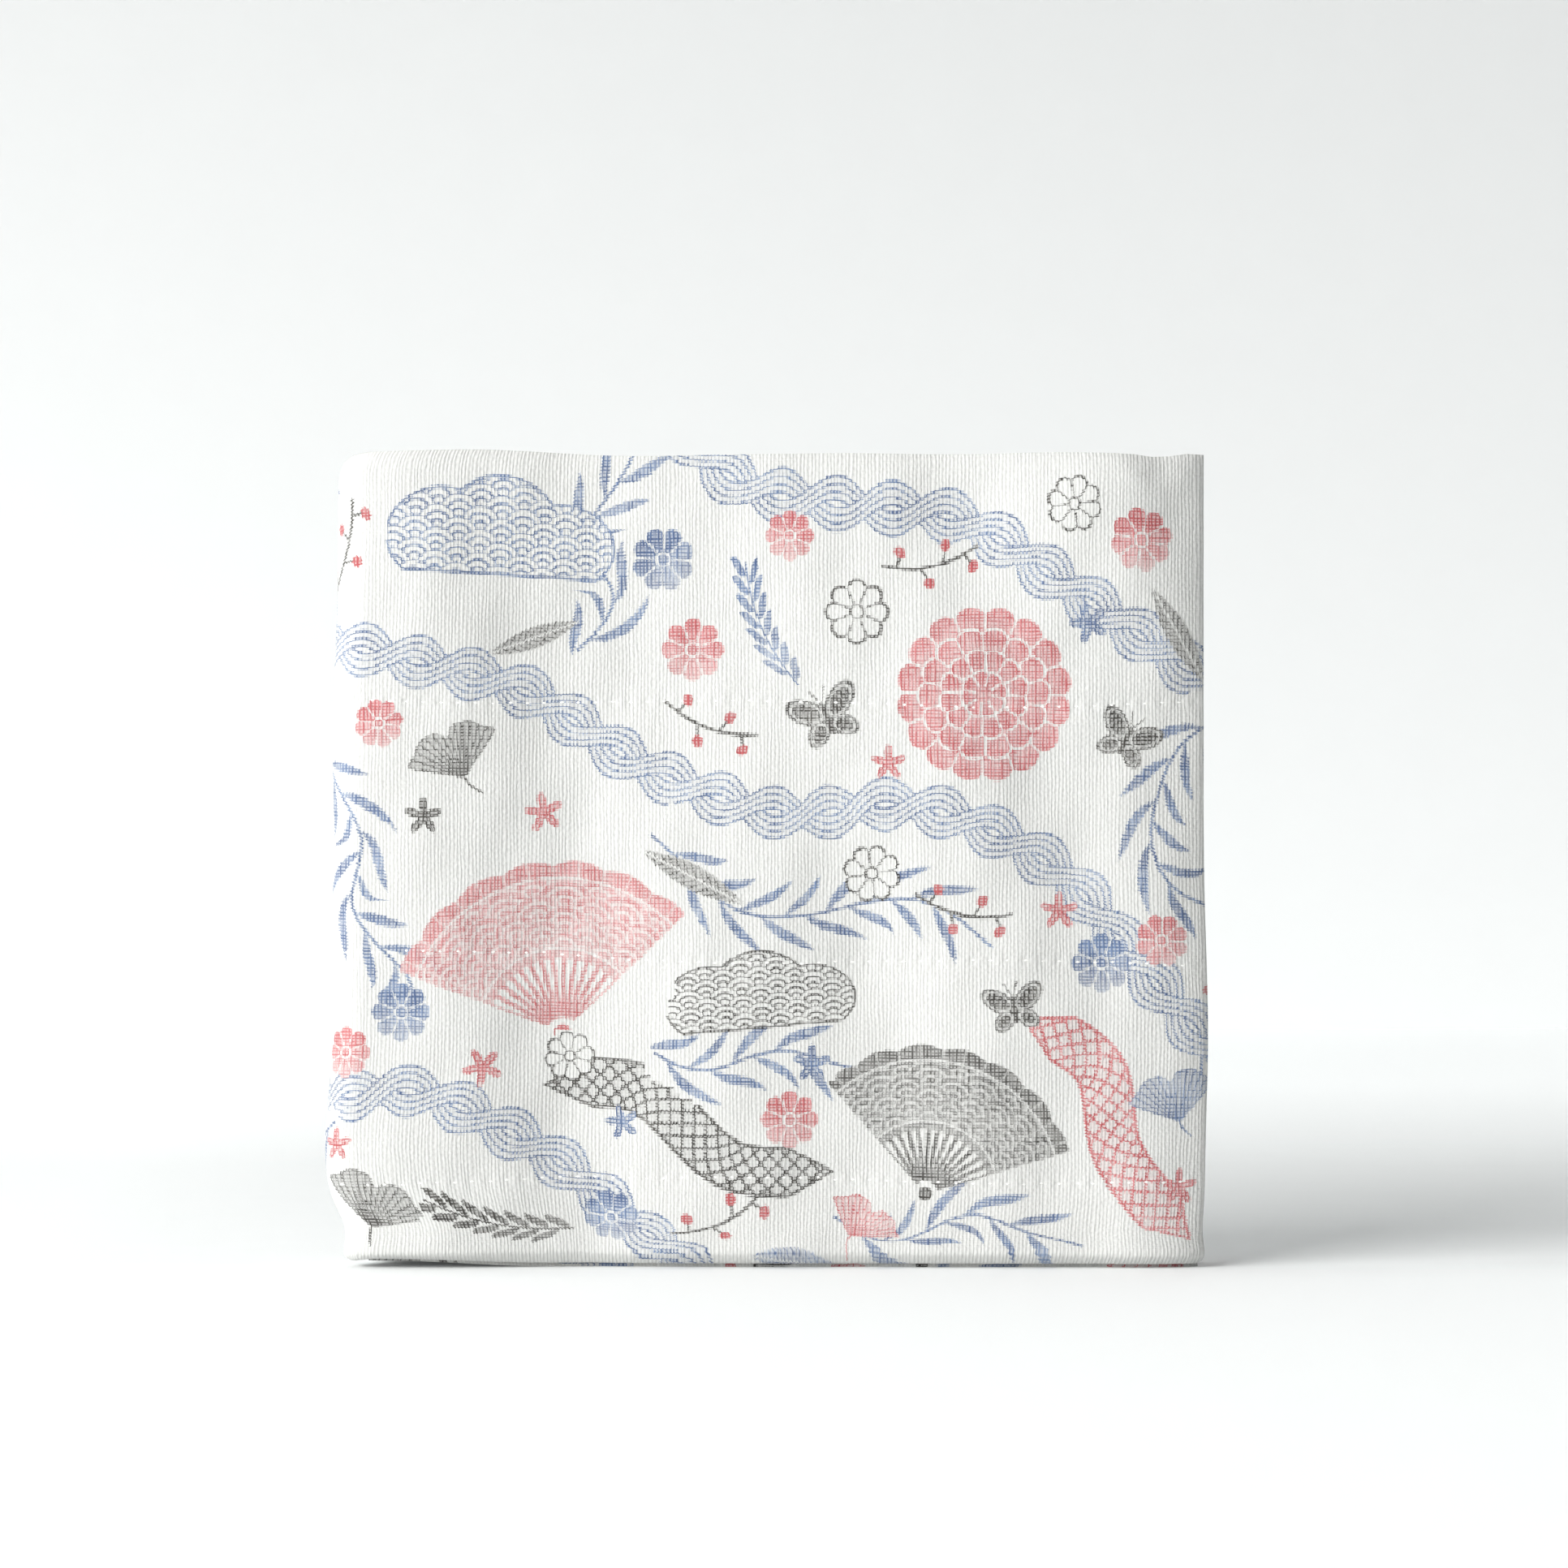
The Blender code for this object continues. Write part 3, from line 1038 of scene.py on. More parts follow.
def noise(scale_across, scale_down, detail, seed):
    """Soft noise with its own scale across and down the cloth, in blots per millimetre."""
    place = new_node("ShaderNodeCombineXYZ")
    plug(place.inputs[0], maths("MULTIPLY_ADD", across_mm, scale_across, seed))
    plug(place.inputs[1], maths("MULTIPLY_ADD", down_mm, scale_down, seed))
    node = new_node("ShaderNodeTexNoise")
    node.noise_dimensions = "2D"
    set_up(node, Scale=1, Detail=detail, Roughness=0.6)
    tree.links.new(place.outputs[0], node.inputs["Vector"])
    return Field(node.outputs[0])


rib_slub = noise(2.0, 0.22, 2, 11.0)
cross_slub = noise(0.20, 2.3, 2, 23.0)
rib_turns = (across_mm / RIB_PITCH + noise(0.8, 0.12, 2, 3.0) * 1.1) * math.pi
cross_turns = (down_mm / CROSS_PITCH + noise(0.12, 0.8, 2, 17.0) * 1.3) * math.pi
ribs = wave(rib_turns * 2) * 0.5 + 0.5
crosses = wave(cross_turns * 2) * 0.5 + 0.5
over = wave(rib_turns) * wave(cross_turns) * 0.5 + 0.5
grain = noise(2.6, 1.0, 2, 61.0) - 0.5
yarn_height = ribs * (rib_slub * 0.6 + 0.4) + over * 0.45 + crosses * (cross_slub * 0.35)
yarn_height = yarn_height + grain * 1.1
print("yarns at", RIB_PITCH, "and", CROSS_PITCH, "mm")

# %% [markdown]
# ## Drawing the print
#
# Each face told the material which motif covers it and where. From that place come its
# distance from the motif's middle and the angle round it, which most motifs use. Every
# place is first pushed towards the middle of its yarn, and each yarn strays a little, so
# that printed edges are stepped and ragged, as they are on cloth. The plain numbers in
# the formulas are millimetres on a motif of size 1, or shares of ink.

# %% Where on the motif each place is
RAGGED = 0.13
STRAYING = 0.45

chapter("ragged edges")
pushed_across = (rib_slub - 0.5) * STRAYING - sine(rib_turns * 2) * RAGGED
pushed_up = (cross_slub - 0.5) * STRAYING - sine(cross_turns * 2) * RAGGED


def place_on(name):
    """A layer's place on its motif, with the motif's number and its ink's."""
    chapter(name)
    across, up, code = parts_of(name)
    across = across + pushed_across
    up = up + pushed_up
    ink = maths("MODULO", code, 4)
    return across, up, (code - ink) / 4, ink


x, y, motif_number, ink_number = place_on("motif_place")
trail_x, trail_y, trail_number, trail_ink = place_on("trail_place")
aside = size_of(x)
radius = length(x, y)
angle = bearing(x, y)
in_grey = is_number(ink_number, INKS.index("grey"))
print("shared fields:", drawing["count"], "nodes")

# %% [markdown]
# A petalled flower is a circle whose radius rises and falls with the angle. The white
# lines between petals are where that wave is at its lowest. A flower in coral or blue is
# filled, paler towards one side, and one in grey is drawn in outline only.

# %% Daisy, star and dahlia


def daisy():
    lobes = size_of(wave(angle * 4))
    rim = maths("MULTIPLY_ADD", maths("SQRT", lobes), 1.25, 3.15)
    petals = inside(rim - radius)
    partings = line(radius * lobes / 4, 0.11) * inside(radius - 1.3)
    eye = line(radius - 0.95, 0.15)
    filled = petals * (1 - partings) * (1 - eye) * (y * 0.07 + 0.84)
    outlined = larger(larger(line(rim - radius, 0.21), partings * petals), eye)
    return between(filled, outlined, in_grey), petals


def star():
    lobes = size_of(wave(angle * 2.5))
    rim = maths("MULTIPLY_ADD", lobes * lobes, 1.85, 0.9)
    veins = line(radius * size_of(sine(angle * 2.5)) / 2.5, 0.07)
    petals = inside(rim - radius)
    return petals * (1 - veins * inside(radius - 0.5) * 0.8), petals


def dahlia():
    # reach of the ring of petals, petals in a half round, and where they start
    rings = ((12.7, 8, 0.0), (9.6, 7, 0.5), (6.5, 6, 0.2), (3.4, 4, 0.0))
    cuts = []
    for number, (reach, half_petals, start) in enumerate(rings):
        lobes = size_of(wave(angle * half_petals + start))
        depth = maths("MULTIPLY_ADD", maths("SQRT", lobes), 0.12 * reach, 0.88 * reach) - radius
        inner_reach = rings[number + 1][0] if number + 1 < len(rings) else 1.2
        partings = line(radius * lobes / half_petals, 0.14) * inside(depth)
        partings = partings * inside(radius - inner_reach * 0.97)
        if number:
            partings = larger(partings, line(depth, 0.18))
        else:
            petals = inside(depth)
        cuts.append(partings)
    flower = petals
    for partings in cuts:
        flower = flower * (1 - partings)
    return flower * maths("MULTIPLY_ADD", fraction(radius / 3.2), 0.30, 0.68), petals


# %% [markdown]
# The leaves of a sprig all lean the same way from its stem. Measured along that slant,
# they are one leaf that repeats, so a single leaf formula and a repeating distance draw
# the whole sprig. A long leaf on its own has a white vein and fine white side veins.

# %% Sprig and leaf
LEAF_SLANT = 1.4
LEAF_LEAN = 0.58


def leaves_on_stem(along, beside, pitch, reach, half_width, half_length):
    """Leaves on alternate sides of a stem, all leaning forward."""
    out = size_of(beside)
    root = (along - out * LEAF_SLANT + maths("SIGN", beside) * (pitch / 4)) / pitch
    number = floor_of(root)
    from_axis = (root - number - 0.5) * (pitch * LEAF_LEAN)
    leaf_width = sine(out * (math.pi / reach)) * half_width
    drawn = inside(leaf_width - size_of(from_axis)) * inside(reach - out)
    half_leaf = reach * LEAF_SLANT / 2
    leaf_middle = (number + 0.5) * pitch + half_leaf
    return drawn * maths("LESS_THAN", size_of(leaf_middle), half_length - half_leaf)


def sprig():
    bent = x - y * y * 0.012
    stem = line(bent, 0.18) * inside(14 - size_of(y + 1))
    leaves = leaves_on_stem(y, bent, 3.7, 3.3, 0.92, 14.5)
    drawn = larger(stem, leaves * (y * 0.012 + 0.84))
    return drawn, drawn


def leaf():
    half_width = wave(y * (math.pi / 16.6)) * 1.75
    vein = lines(y - aside * 1.1, 1.25, 0.14)
    blade = inside(half_width - aside) * inside(8.2 - size_of(y))
    return blade * (1 - line(x, 0.12)) * (0.50 + vein * 0.45), blade


# %% [markdown]
# A ginkgo leaf is a slice of a circle about its root, with a notch in its rim and veins
# that are lines of equal angle. A twig has berries on alternate sides. A butterfly's two
# pairs of wings are leaning ovals, and the left half mirrors the right, because the
# distance aside is taken without its sign.

# %% Ginkgo, twig and butterfly
GINKGO_ROOT = 4.2
BERRY_STEP = 3.4


def ginkgo():
    up = y + GINKGO_ROOT
    from_root = length(x, up)
    root_angle = bearing(x, up)
    rim = 8.7 + wave(root_angle * 13) * 0.20 - hill(root_angle, 0.13) * 2.2
    depth = smaller(rim - from_root, (0.98 - size_of(root_angle)) * from_root)
    vein = line(from_root * (fraction(root_angle / 0.15) - 0.5) * 0.15, 0.11)
    blade = inside(depth) * (0.45 + vein * 0.55)
    border = line(depth, 0.14) * inside(from_root - 0.4)
    stem = line(x - up * up * 0.15, 0.18) * inside(-4.0 - y)
    return larger(larger(blade, border * 0.9), stem), inside(depth)


def twig():
    """The lines of the twig, and its berries, which are always coral."""
    risen = y - x * x * 0.03
    stem = line(risen, 0.23) * inside(7.4 - aside)
    side = 1 - maths("MODULO", size_of(floor_of(x / BERRY_STEP)), 2) * 2
    ahead = (fraction(x / BERRY_STEP) - 0.5) * BERRY_STEP
    up = risen * side
    shoot = line(ahead - up * 0.45, 0.19) * inside(up) * inside(1.9 - up) * inside(6.8 - aside)
    berry = inside(0.85 - length(ahead - 0.95, up - 2.4)) * inside(x + 6.7) * inside(7.2 - x)
    return larger(stem, shoot), berry


def oval(right, up, half_long, half_wide):
    """Depth of an oval of ink that leans outwards, about a middle in the right half."""
    lean_cos, lean_sin = 0.77, 0.64
    along = right * lean_cos + up * lean_sin
    across = up * lean_cos - right * lean_sin
    return (1 - length(along / half_long, across / half_wide)) * half_wide


def butterfly():
    upper = oval(aside - 2.5, y - 1.5, 3.1, 1.75)
    lower = oval(aside - 1.9, (y + 1.9) * -1, 2.1, 1.45)
    depth = larger(upper, lower)
    bars = lines(radius, 0.95, 0.12)
    wings = inside(depth) * (1 - line(depth - 0.45, 0.11) * 0.8) * (0.95 - bars * 0.35)
    body = inside(0.32 - aside) * inside(2.3 - size_of(y + 0.3))
    feeler = line(aside - (y - 1.8) * 0.45, 0.11) * inside(y - 1.8) * inside(4.3 - y)
    return larger(larger(wings, body), feeler), inside(depth)


# %% [markdown]
# Rows of overlapping scales are an old way to draw water. Each scale hides the lower half
# of those behind it. For any place only two scales can be on top, one from the row below
# and one from its own row, so both distances are worked out and the front one is kept.
# The same scales, bent round the fan's pivot, decorate the folded paper of the fan.

# %% Scales, fan and waves
FAN_PIVOT = 12.0
FAN_FOLD = 0.155
SCALE_PITCH = 4.6
SCALE_LINES = 6
FOLDS_IN_SCALE = 3
PAPER_SIZE = 1.5
WAVE_SIZE = 1.45

chapter("scales")
on_fan = is_number(motif_number, MOTIF_NUMBERS["fan"])
pivot_distance = length(x, y + FAN_PIVOT)
pivot_angle = bearing(x, y + FAN_PIVOT)


def scale_distance(along, up):
    """Distance to the middle of the scale that lies on top."""
    step = SCALE_PITCH / 4
    row_number = floor_of(up / step)

    def to_middle(number):
        beside = (fraction(number / 2 + along / SCALE_PITCH) - 0.5) * SCALE_PITCH
        return length(beside, up - number * step)

    front, behind = to_middle(row_number - 1), to_middle(row_number)
    return between(behind, front, maths("LESS_THAN", front, SCALE_PITCH / 2))


to_scale = scale_distance(
    between(x / WAVE_SIZE, pivot_angle * (SCALE_PITCH / FOLDS_IN_SCALE / FAN_FOLD), on_fan),
    between((y + 40) / WAVE_SIZE, pivot_distance / PAPER_SIZE, on_fan),
)
scale_lines = lines(to_scale + SCALE_PITCH / SCALE_LINES / 2, SCALE_PITCH / SCALE_LINES, 0.13)


def fan():
    rim = 22.6 + size_of(wave(pivot_angle * (math.pi / FAN_FOLD / 2))) * 0.7
    sides = (1.0 - size_of(pivot_angle)) * pivot_distance
    paper = smaller(smaller(rim - pivot_distance, pivot_distance - 10.0), sides)
    fold_place = fraction(pivot_angle / FAN_FOLD)
    crease = line(pivot_distance * (0.5 - size_of(fold_place - 0.5)) * FAN_FOLD, 0.12)
    band = larger(line(pivot_distance - 20.9, 0.17), line(pivot_distance - 11.4, 0.17))
    scaled = scale_lines * inside(pivot_distance - 11.6) * inside(20.7 - pivot_distance)
    whites = larger(larger(crease * 0.65, band), scaled * 0.85)
    sheet = inside(paper) * (1 - whites * 0.85) * (pivot_distance * 0.014 + 0.48)
    stick = line(pivot_distance * (fold_place - 0.5) * FAN_FOLD, 0.32)
    sticks = stick * inside(10.2 - pivot_distance) * inside(sides) * inside(pivot_distance - 2.0)
    drawn = larger(sheet, larger(sticks * 0.8, inside(1.1 - pivot_distance)))
    return drawn, inside(smaller(rim - pivot_distance, sides))


def waves():
    left = 8.6 - length(x + 9.2, (y + 1.2) * 1.25)
    right = 8.0 - length(x - 9.6, (y + 1.8) * 1.3)
    middle = 9.4 - length(x, (y + 0.4) * 1.15)
    cloud = smaller(larger(larger(left, right), middle), y + 6.4)
    return larger(scale_lines * inside(cloud - 0.25), line(cloud, 0.20)), inside(cloud)


# %% [markdown]
# The trails follow a bending line, so x is the distance along it and y the distance to
# one side. The ribbon is a lattice between two borders that close in at its ends. The
# cord is two strands that swing across each other, and the strand that is in front
# changes at every crossing. The vine is a wavy stem with slim leaves.

# %% Ribbon, cord and vine
CORD_WAVE = 2 * math.pi / 15
CORD_SWING = 2.0
STRAND_HALF = 1.6
LATTICE_PITCH = 2.3

half_trail = fraction(trail_ink) * LENGTH_UNIT
from_end = half_trail - size_of(trail_x)


def ribbon():
    half_width = smaller(3.2, (from_end - 0.4) * 0.55)
    depth = half_width - size_of(trail_y)
    slants = (trail_x + trail_y, trail_x - trail_y)
    lattice = larger(*(lines(slant, LATTICE_PITCH, 0.25) for slant in slants))
    return larger(inside(depth) * (lattice * 0.82 + 0.18), line(depth, 0.23))


def cord():
    swing = sine(trail_x * CORD_WAVE) * CORD_SWING
    in_front = inside(wave(trail_x * CORD_WAVE))
    first, second = size_of(trail_y - swing), size_of(trail_y + swing)

    def strand(distance, other, other_in_front):
        drawn = larger(line(distance - 1.5, 0.17), line(distance - 0.5, 0.15))
        return drawn * (1 - other_in_front * inside(STRAND_HALF - other))

    wash = inside(STRAND_HALF - smaller(first, second)) * 0.14
    strands = larger(strand(first, second, 1 - in_front), strand(second, first, in_front))
    return larger(wash, strands)


def vine():
    bent = trail_y - wave(trail_x * 0.33) * 0.45
    stem = line(bent, 0.19) * inside(from_end - 0.8)
    leaves = leaves_on_stem(trail_x, bent, 5.9, 4.9, 0.68, half_trail - 0.3)
    return larger(stem, leaves * 0.85)


# %% [markdown]
# Every place asks for one motif of each layer. Each formula bears its motif's name. It is
# worked out and then kept or dropped by comparing its motif's number with the one that
# the place carries, and what is kept is added up. A flower's whole outline hides the
# trail behind it, and not only its inked parts.

# %% Add up the motifs
FORMULAS = (daisy, sprig, fan, waves, ginkgo, butterfly, dahlia, star, leaf)
TRAIL_FORMULAS = (ribbon, cord, vine)


def chosen(draw, number):
    """1 where the place asks for this formula's motif. Its nodes get a frame."""
    chapter(draw.__name__)
    return is_number(number, MOTIF_NUMBERS[draw.__name__])


on_twig = chosen(twig, motif_number)
twig_lines, berries = twig()
berries = on_twig * berries
inked = on_twig * twig_lines
hiding = larger(inked, berries)
for draw in FORMULAS:
    here = chosen(draw, motif_number)
    drawn, outline = draw()
    inked = maths("MULTIPLY_ADD", here, drawn, inked)
    hiding = maths("MULTIPLY_ADD", here, outline, hiding)
trail_inked = 0
for draw in TRAIL_FORMULAS:
    here = chosen(draw, trail_number)
    trail_inked = maths("MULTIPLY_ADD", here, draw(), trail_inked)
trail_inked = trail_inked * (1 - hiding)
print("the print takes", drawing["count"], "nodes")

# %% [markdown]
# ## Ink and cloth colour
#
# Ink sits on the yarns and hardly reaches between them, and some yarns take more of it
# than others, so a printed fill is a hatching of upright and crosswise threads. It is
# also a little blotchy, as it soaks in unevenly. Each ink runs from a light tone to a deep
# one. The cloth itself is a warm white with a random grain, and painted shade darkens it
# between its yarns and where they pass under each other.

# %% Colours
COLOURS = {
    # ink: light tone and deep tone
    "coral": ((0.54, 0.19, 0.198), (0.40, 0.085, 0.092)),
    "blue": ((0.165, 0.230, 0.365), (0.072, 0.110, 0.215)),
    "grey": ((0.088, 0.083, 0.075), (0.040, 0.037, 0.034)),
}
CLOTH_WHITE = (0.632, 0.635, 0.620)
SHADE_BETWEEN_YARNS = 0.88
LEAST_INK = 0.42
MOST_INK = 1.25
CONTRAST = 2.4

chapter("colour")


def mixed(first, second, share, blend="MIX"):
    """Two colours mixed by a field. Each is a plain colour or the result of a mix."""
    node = new_node("ShaderNodeMix")
    node.data_type = "RGBA"
    node.blend_type = blend
    plug(node.inputs[0], share)
    for socket, colour in ((node.inputs[6], first), (node.inputs[7], second)):
        if isinstance(colour, tuple):
            socket.default_value = (*colour, 1)
        else:
            tree.links.new(colour, socket)
    return node.outputs[2]


def contrasted(blots, start):
    """A noise with its darks and lights drawn apart."""
    return maths("MULTIPLY_ADD", blots, CONTRAST, start, clamp=True)


hatching = larger(ribs * contrasted(rib_slub, -0.45), crosses * contrasted(cross_slub, -0.45))
tone = contrasted(noise(0.22, 0.22, 2, 5.0), hatching * 0.9 - 1.2)
soak = noise(1.4, 1.4, 2, 31.0) * 0.24 + 0.88
on_yarn = maths("MULTIPLY_ADD", hatching, MOST_INK - LEAST_INK, LEAST_INK)
soaked = soak * on_yarn
amount = maths("MULTIPLY", inked, soaked, clamp=True)
trail_amount = maths("MULTIPLY", trail_inked, soaked, clamp=True)

shaded_between_yarns = tuple(part * SHADE_BETWEEN_YARNS for part in CLOTH_WHITE)
# The white gets painted shade between the yarns and under crossings, and the yarns' own random
# grain.
coloured = mixed(CLOTH_WHITE, shaded_between_yarns, 1 - ribs * 0.65 - over * 0.35 - grain * 1.2)
for chosen_ink, share in ((trail_ink, trail_amount), (ink_number, amount)):
    for number, ink in enumerate(INKS):
        printed = mixed(*COLOURS[ink], tone)
        coloured = mixed(coloured, printed, share * is_number(chosen_ink, number))
berry_amount = maths("MULTIPLY", berries, on_yarn, clamp=True)
coloured = mixed(coloured, COLOURS["coral"][1], berry_amount)
print("colours for", len(COLOURS), "inks and the white cloth")

# %% [markdown]
# The yarns and the small puckers beside each stitch are far too fine to model, so they
# are bump. Each stitch presses the cloth down, and the cloth swells a little between one
# stitch and the next. Cotton is matt, with a faint sheen from its loose fibres.

# %% Surface of the cloth
STITCH_PITCH = 2.3
BUMP_HEIGHT = 0.0001

chapter("surface")
past = Field(attribute_node("past_row").outputs["Fac"])
swelling = wave(across_mm * (2 * math.pi / STITCH_PITCH))
puckers = hill(past, 0.6) * swelling * 0.8 + hill(past, 1.8) * (swelling + 1) * 0.15
fuzz = noise(7.0, 7.0, 3, 47.0)
surface_height = yarn_height + puckers + fuzz * 0.35

tree.links.new(coloured, gauze_shader.inputs["Base Color"])
set_up(gauze_shader, Roughness=0.9, Sheen_Weight=0.12, Sheen_Roughness=0.5)
set_up(gauze_shader, Specular_IOR_Level=0.25)
roughen(gauze_shader, surface_height, 0.6, BUMP_HEIGHT)
cloth.data.materials.append(gauze)
print("the cloth's material has", len(tree.nodes), "nodes")

# %% [markdown]
# ## The stitches
#
# Every row is a running stitch in white cotton thread: a short dash on the printed side,
# then one on the other side. A real stitch is a bit of thread that dives into the cloth
# at both ends. One is modelled from a ball of few faces, drawn out long and bent down at
# its ends, and that shape is then copied along all the rows while the cloth is still
# flat, so that the folding carries the stitches with it. A new ball's faces come in any
# order, so they are sorted, and the mesh is the same each time.

# %% One stitch
STITCH_LENGTH = 0.00150
STITCH_WIDTH = 0.00040
STITCH_HEIGHT = 0.00036
STITCH_SINK = 0.00014
END_SHARE = 0.3
END_BEND = 0.4

bpy.ops.object.select_all(action="DESELECT")
bpy.ops.mesh.primitive_uv_sphere_add(segments=6, ring_count=4, radius=0.5)
thread = bpy.context.object
thread.name = thread.data.name = "sewing_thread"
bpy.ops.object.mode_set(mode="EDIT")
bpy.ops.mesh.select_all(action="SELECT")
bpy.ops.transform.resize(value=(STITCH_WIDTH, STITCH_HEIGHT, STITCH_LENGTH))
select_where("verts", lambda point: abs(point.co.z) > END_SHARE * STITCH_LENGTH)
bpy.ops.transform.translate(value=(0, -END_BEND * STITCH_HEIGHT, 0))
bpy.ops.mesh.select_all(action="DESELECT")
bpy.ops.object.mode_set(mode="OBJECT")

dash = read(thread.data.vertices, "co", 3)[:, (2, 0, 1)]
dash_faces = sorted(tuple(face.vertices) for face in thread.data.polygons)
print("one stitch has", len(dash), "points and", len(dash_faces), "faces")

# %% [markdown]
# Hand-fed machine stitches aren't all alike, so each copy is a little longer or shorter
# and turned a degree or two. The random numbers start from a fixed seed, so that the
# script makes the same cloth each time. On the reverse side the stitches lie between
# those of the printed side, turned over.

# %% Copy it along the rows
END_MARGIN = 0.0020
ALONG_SPREAD = 0.00006
ASIDE_SPREAD = 0.00005
TILT_SPREAD = 0.05
STRETCH_SPREAD = 0.07
rng = np.random.default_rng(7)
stitch_places = []
stitch_faces = []
pitch = STITCH_PITCH / 1000
for row in range(len(ROW_PLACES)):
    for side, start in ((1, 0.5), (-1, 1.0)):
        count = int((CLOTH_WIDTH - END_MARGIN) / pitch - start)
        for number in range(1, count):
            u = (number + start) * pitch + rng.normal(0, ALONG_SPREAD)
            v = row_line(row, u) + rng.normal(0, ASIDE_SPREAD)
            tilt = rng.normal(0, TILT_SPREAD)
            stretched = dash * (1 + rng.normal(0, STRETCH_SPREAD), 1, 1)
            across = stretched[:, 0] * math.cos(tilt) - stretched[:, 1] * math.sin(tilt)
            down = stretched[:, 0] * math.sin(tilt) + stretched[:, 1] * math.cos(tilt)
            up = SHEET / 2 - STITCH_SINK / 2 + stretched[:, 2]
            first = len(stitch_places) * len(dash)
            stitch_places.append(np.stack([across - u, side * down - v, side * up], axis=1))
            stitch_faces += [tuple(first + corner for corner in face) for face in dash_faces]
stitches, _ = fold(np.concatenate(stitch_places))
print(len(stitch_places), "stitches with", len(stitch_faces), "faces")

# %% [markdown]
# All the stitches are one thread on the real cloth, and they are one mesh here. The
# thread is twisted from finer ones. Its twist is too fine to model, so a slanted noise
# in the thread's material darkens and lifts it in little strokes.

# %% The thread's mesh and finish
thread.data.clear_geometry()
thread.data.from_pydata((stitches - shift).tolist(), [], stitch_faces)
thread.data.update()
thread.data.shade_smooth()

THREAD_WHITE = (0.90, 0.90, 0.88)
THREAD_SHADE = (0.76, 0.76, 0.74)
TWIST_SLANT = math.radians(35)
TWIST_HEIGHT = 0.00005

cotton, cotton_shader = new_material("white sewing thread")
where = new_node("ShaderNodeTexCoord")
slanted = new_node("ShaderNodeMapping")
set_up(slanted, Rotation=(0, TWIST_SLANT, 0), Scale=(9000, 2500, 2500))
twist = new_node("ShaderNodeTexNoise")
set_up(twist, Scale=1, Detail=2)
tree.links.new(where.outputs["Object"], slanted.inputs["Vector"])
tree.links.new(slanted.outputs[0], twist.inputs["Vector"])
strokes = Field(twist.outputs[0])
thread_colour = mixed(THREAD_SHADE, THREAD_WHITE, strokes)
tree.links.new(thread_colour, cotton_shader.inputs["Base Color"])
set_up(cotton_shader, Roughness=0.75, Sheen_Weight=0.2)
roughen(cotton_shader, strokes, 0.6, TWIST_HEIGHT)
thread.data.materials.append(cotton)
print("the thread has", len(thread.data.polygons), "faces")

# %% [markdown]
# ## What belongs to what
#
# The soft cloth stands for the plain solid, and the thread is sewn through it. Both ride
# on the one body.

for piece in (cloth, thread):
    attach(piece, "root")
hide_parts("folded_cloth")

# %% [markdown]
# ## Table and wall
#
# The cloth stands on white card in front of a white wall, which are only a stage. The
# wall is a little turned, so that its foot runs slightly downhill. Its colour is painted
# paler towards its foot and it glows more there, both painted light. Both are planes, with
# the fine mottling of card in their material. The card glows slightly, more towards the
# back, in front and at the left, as painted light that makes it look overexposed.

# %% Table and wall
STAGE_SIZE = 6.0
WALL_DISTANCE = 0.712
WALL_TURN = 6.8
COOL_WHITE = (0.985, 1.003, 1.0)
MOTTLING = 0.03

bpy.ops.object.select_all(action="DESELECT")
bpy.ops.mesh.primitive_plane_add(size=STAGE_SIZE)
table = bpy.context.object
table.name = "table"
bpy.ops.mesh.primitive_plane_add(
    size=STAGE_SIZE,
    location=(0, WALL_DISTANCE, 0),
    rotation=(math.pi / 2, 0, math.radians(WALL_TURN)),
)
wall = bpy.context.object
wall.name = "wall"


def ramp(place, start, full):
    """0 up to the start, then rising evenly to 1 where it is full."""
    return maths("DIVIDE", place - start, full - start, clamp=True)


def card(name, span, greys, glows, painted_light=()):
    """White card, mottled and rough, whose grey and glow change along a span as painted light
    and shade. Each part of painted light is an axis, where it starts, where it is full, and its
    glow."""
    material, shader = new_material(name)
    where = new_node("ShaderNodeTexCoord")
    mottle = new_node("ShaderNodeTexNoise")
    set_up(mottle, Scale=60, Detail=4)
    tree.links.new(where.outputs["Object"], mottle.inputs["Vector"])
    apart = new_node("ShaderNodeSeparateXYZ")
    tree.links.new(where.outputs["Object"], apart.inputs[0])
    along = ramp(Field(apart.outputs[1]), *span)
    start, end = (tuple(grey * part for part in COOL_WHITE) for grey in greys)
    graded = mixed(start, end, along)
    mottled = mixed(graded, mottle.outputs[0], MOTTLING, "MULTIPLY")
    tree.links.new(mottled, shader.inputs["Base Color"])
    set_up(shader, Roughness=0.85, Specular_IOR_Level=0.2, Emission_Color=(*COOL_WHITE, 1))
    glow = between(glows[0], glows[1], along)
    for axis, start, full, more in painted_light:
        glow += ramp(Field(apart.outputs[axis]), start, full) * more
    plug(shader.inputs["Emission Strength"], glow)
    return material
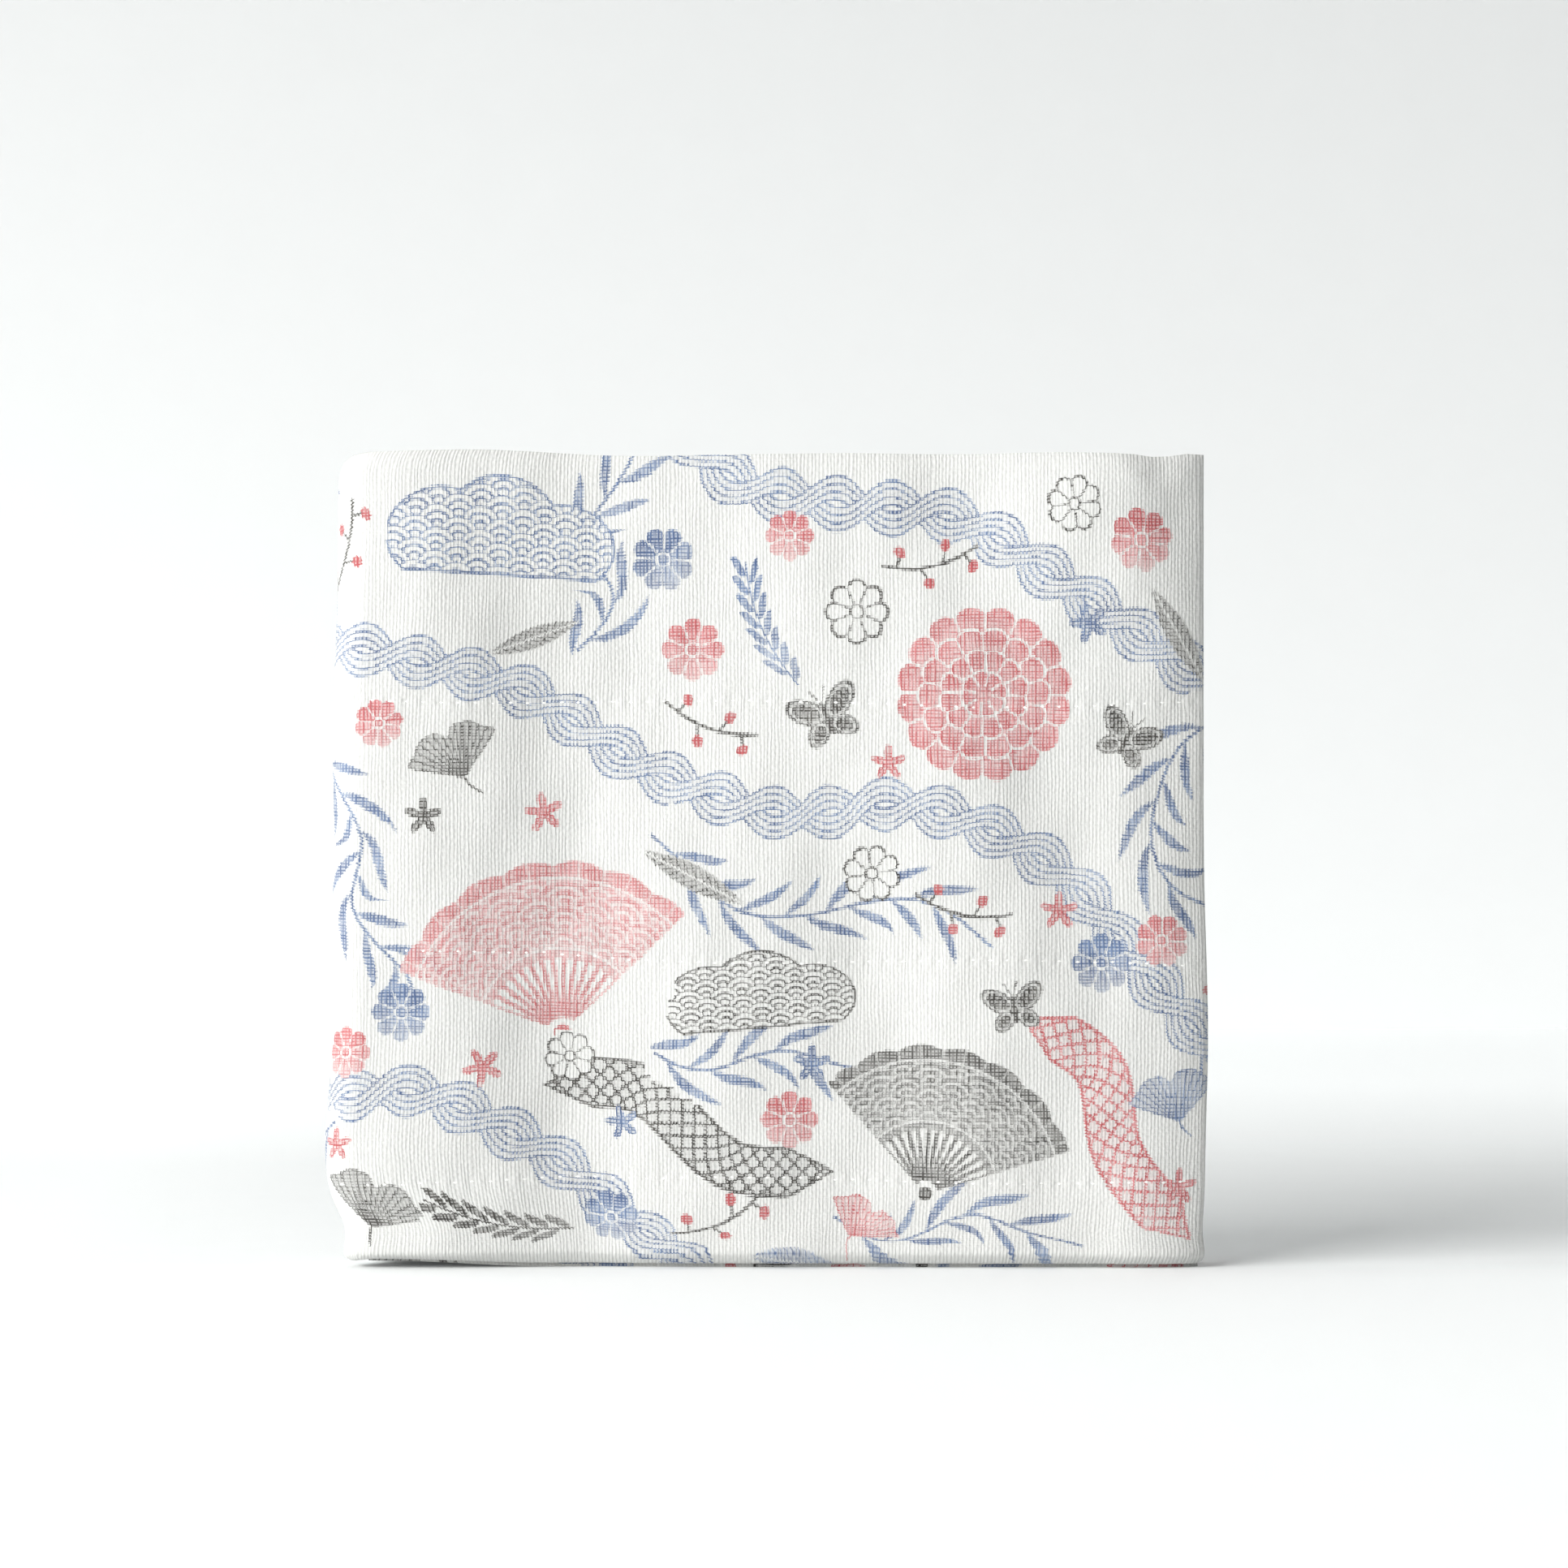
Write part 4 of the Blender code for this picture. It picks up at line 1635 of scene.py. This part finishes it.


# Painted light: the card glows more in front of the cloth and at the left.
PAINTED_LIGHT_PATCHES = (
    # axis, start, full, glow
    (1, 0.004, -0.024, 0.12),
    (0, -0.056, -0.110, 0.08),
)
# The table card's glow is painted light that rises towards the back.
white_card = card("white card", (0.20, 0.45), (0.95, 0.92), (0.02, 0.22), PAINTED_LIGHT_PATCHES)
table.data.materials.append(white_card)
# The wall's grey and glow are painted light, paler and brighter towards its foot.
wall.data.materials.append(card("backdrop with painted light", (0.0, 0.27), (0.57, 0.46), (0.34, 0.27)))
print("table and wall stand at", WALL_DISTANCE, "m")

# %% [markdown]
# ## Light
#
# The photograph was taken beside a large window, at the left and in front. It gives the
# soft swells of the cloth their shading and throws a wide, soft-edged shadow to the right
# and back. A second, weaker light stands for the pale ceiling. The world adds very
# little, because a strong even light would flatten the folds.

# %% Lights and view
WINDOW_AZIMUTH = 43
WINDOW_HEIGHT = 20
WINDOW_DISTANCE = 2.6
WINDOW_SIZE = (2.2, 1.2)
WINDOW_POWER = 107
CEILING_POWER = 6
CEILING_PLACE = (-0.5, 0.0, 1.7)
CEILING_SIZE = (2.0, 2.0)
WORLD_STRENGTH = 0.07
WINDOW_COLOUR = (1.0, 0.995, 0.985)
SKY_COLOUR = (0.97, 0.985, 1.0)


def soft_light(name, place, size, power, colour):
    """A rectangular soft light that faces the cloth."""
    bpy.ops.object.light_add(type="AREA", location=place)
    light = bpy.context.object
    light.name = name
    light.data.shape = "RECTANGLE"
    light.data.size, light.data.size_y = size
    light.data.energy = power
    light.data.color = colour
    light.rotation_euler = (-Vector(place)).to_track_quat("-Z", "Y").to_euler()


azimuth, elevation = math.radians(WINDOW_AZIMUTH), math.radians(WINDOW_HEIGHT)
window_place = Vector(
    (
        -math.cos(azimuth) * math.cos(elevation),
        -math.sin(azimuth) * math.cos(elevation),
        math.sin(elevation),
    )
) * WINDOW_DISTANCE
soft_light("window", window_place, WINDOW_SIZE, WINDOW_POWER, WINDOW_COLOUR)
soft_light("ceiling", CEILING_PLACE, CEILING_SIZE, CEILING_POWER, SKY_COLOUR)

scene = bpy.context.scene
scene.world = bpy.data.worlds.new("studio")
scene.world.use_nodes = True
background = scene.world.node_tree.nodes["Background"]
set_up(background, Color=(*SKY_COLOUR, 1), Strength=WORLD_STRENGTH)
scene.view_settings.view_transform = "Standard"
print("window at", tuple(round(v, 2) for v in window_place))
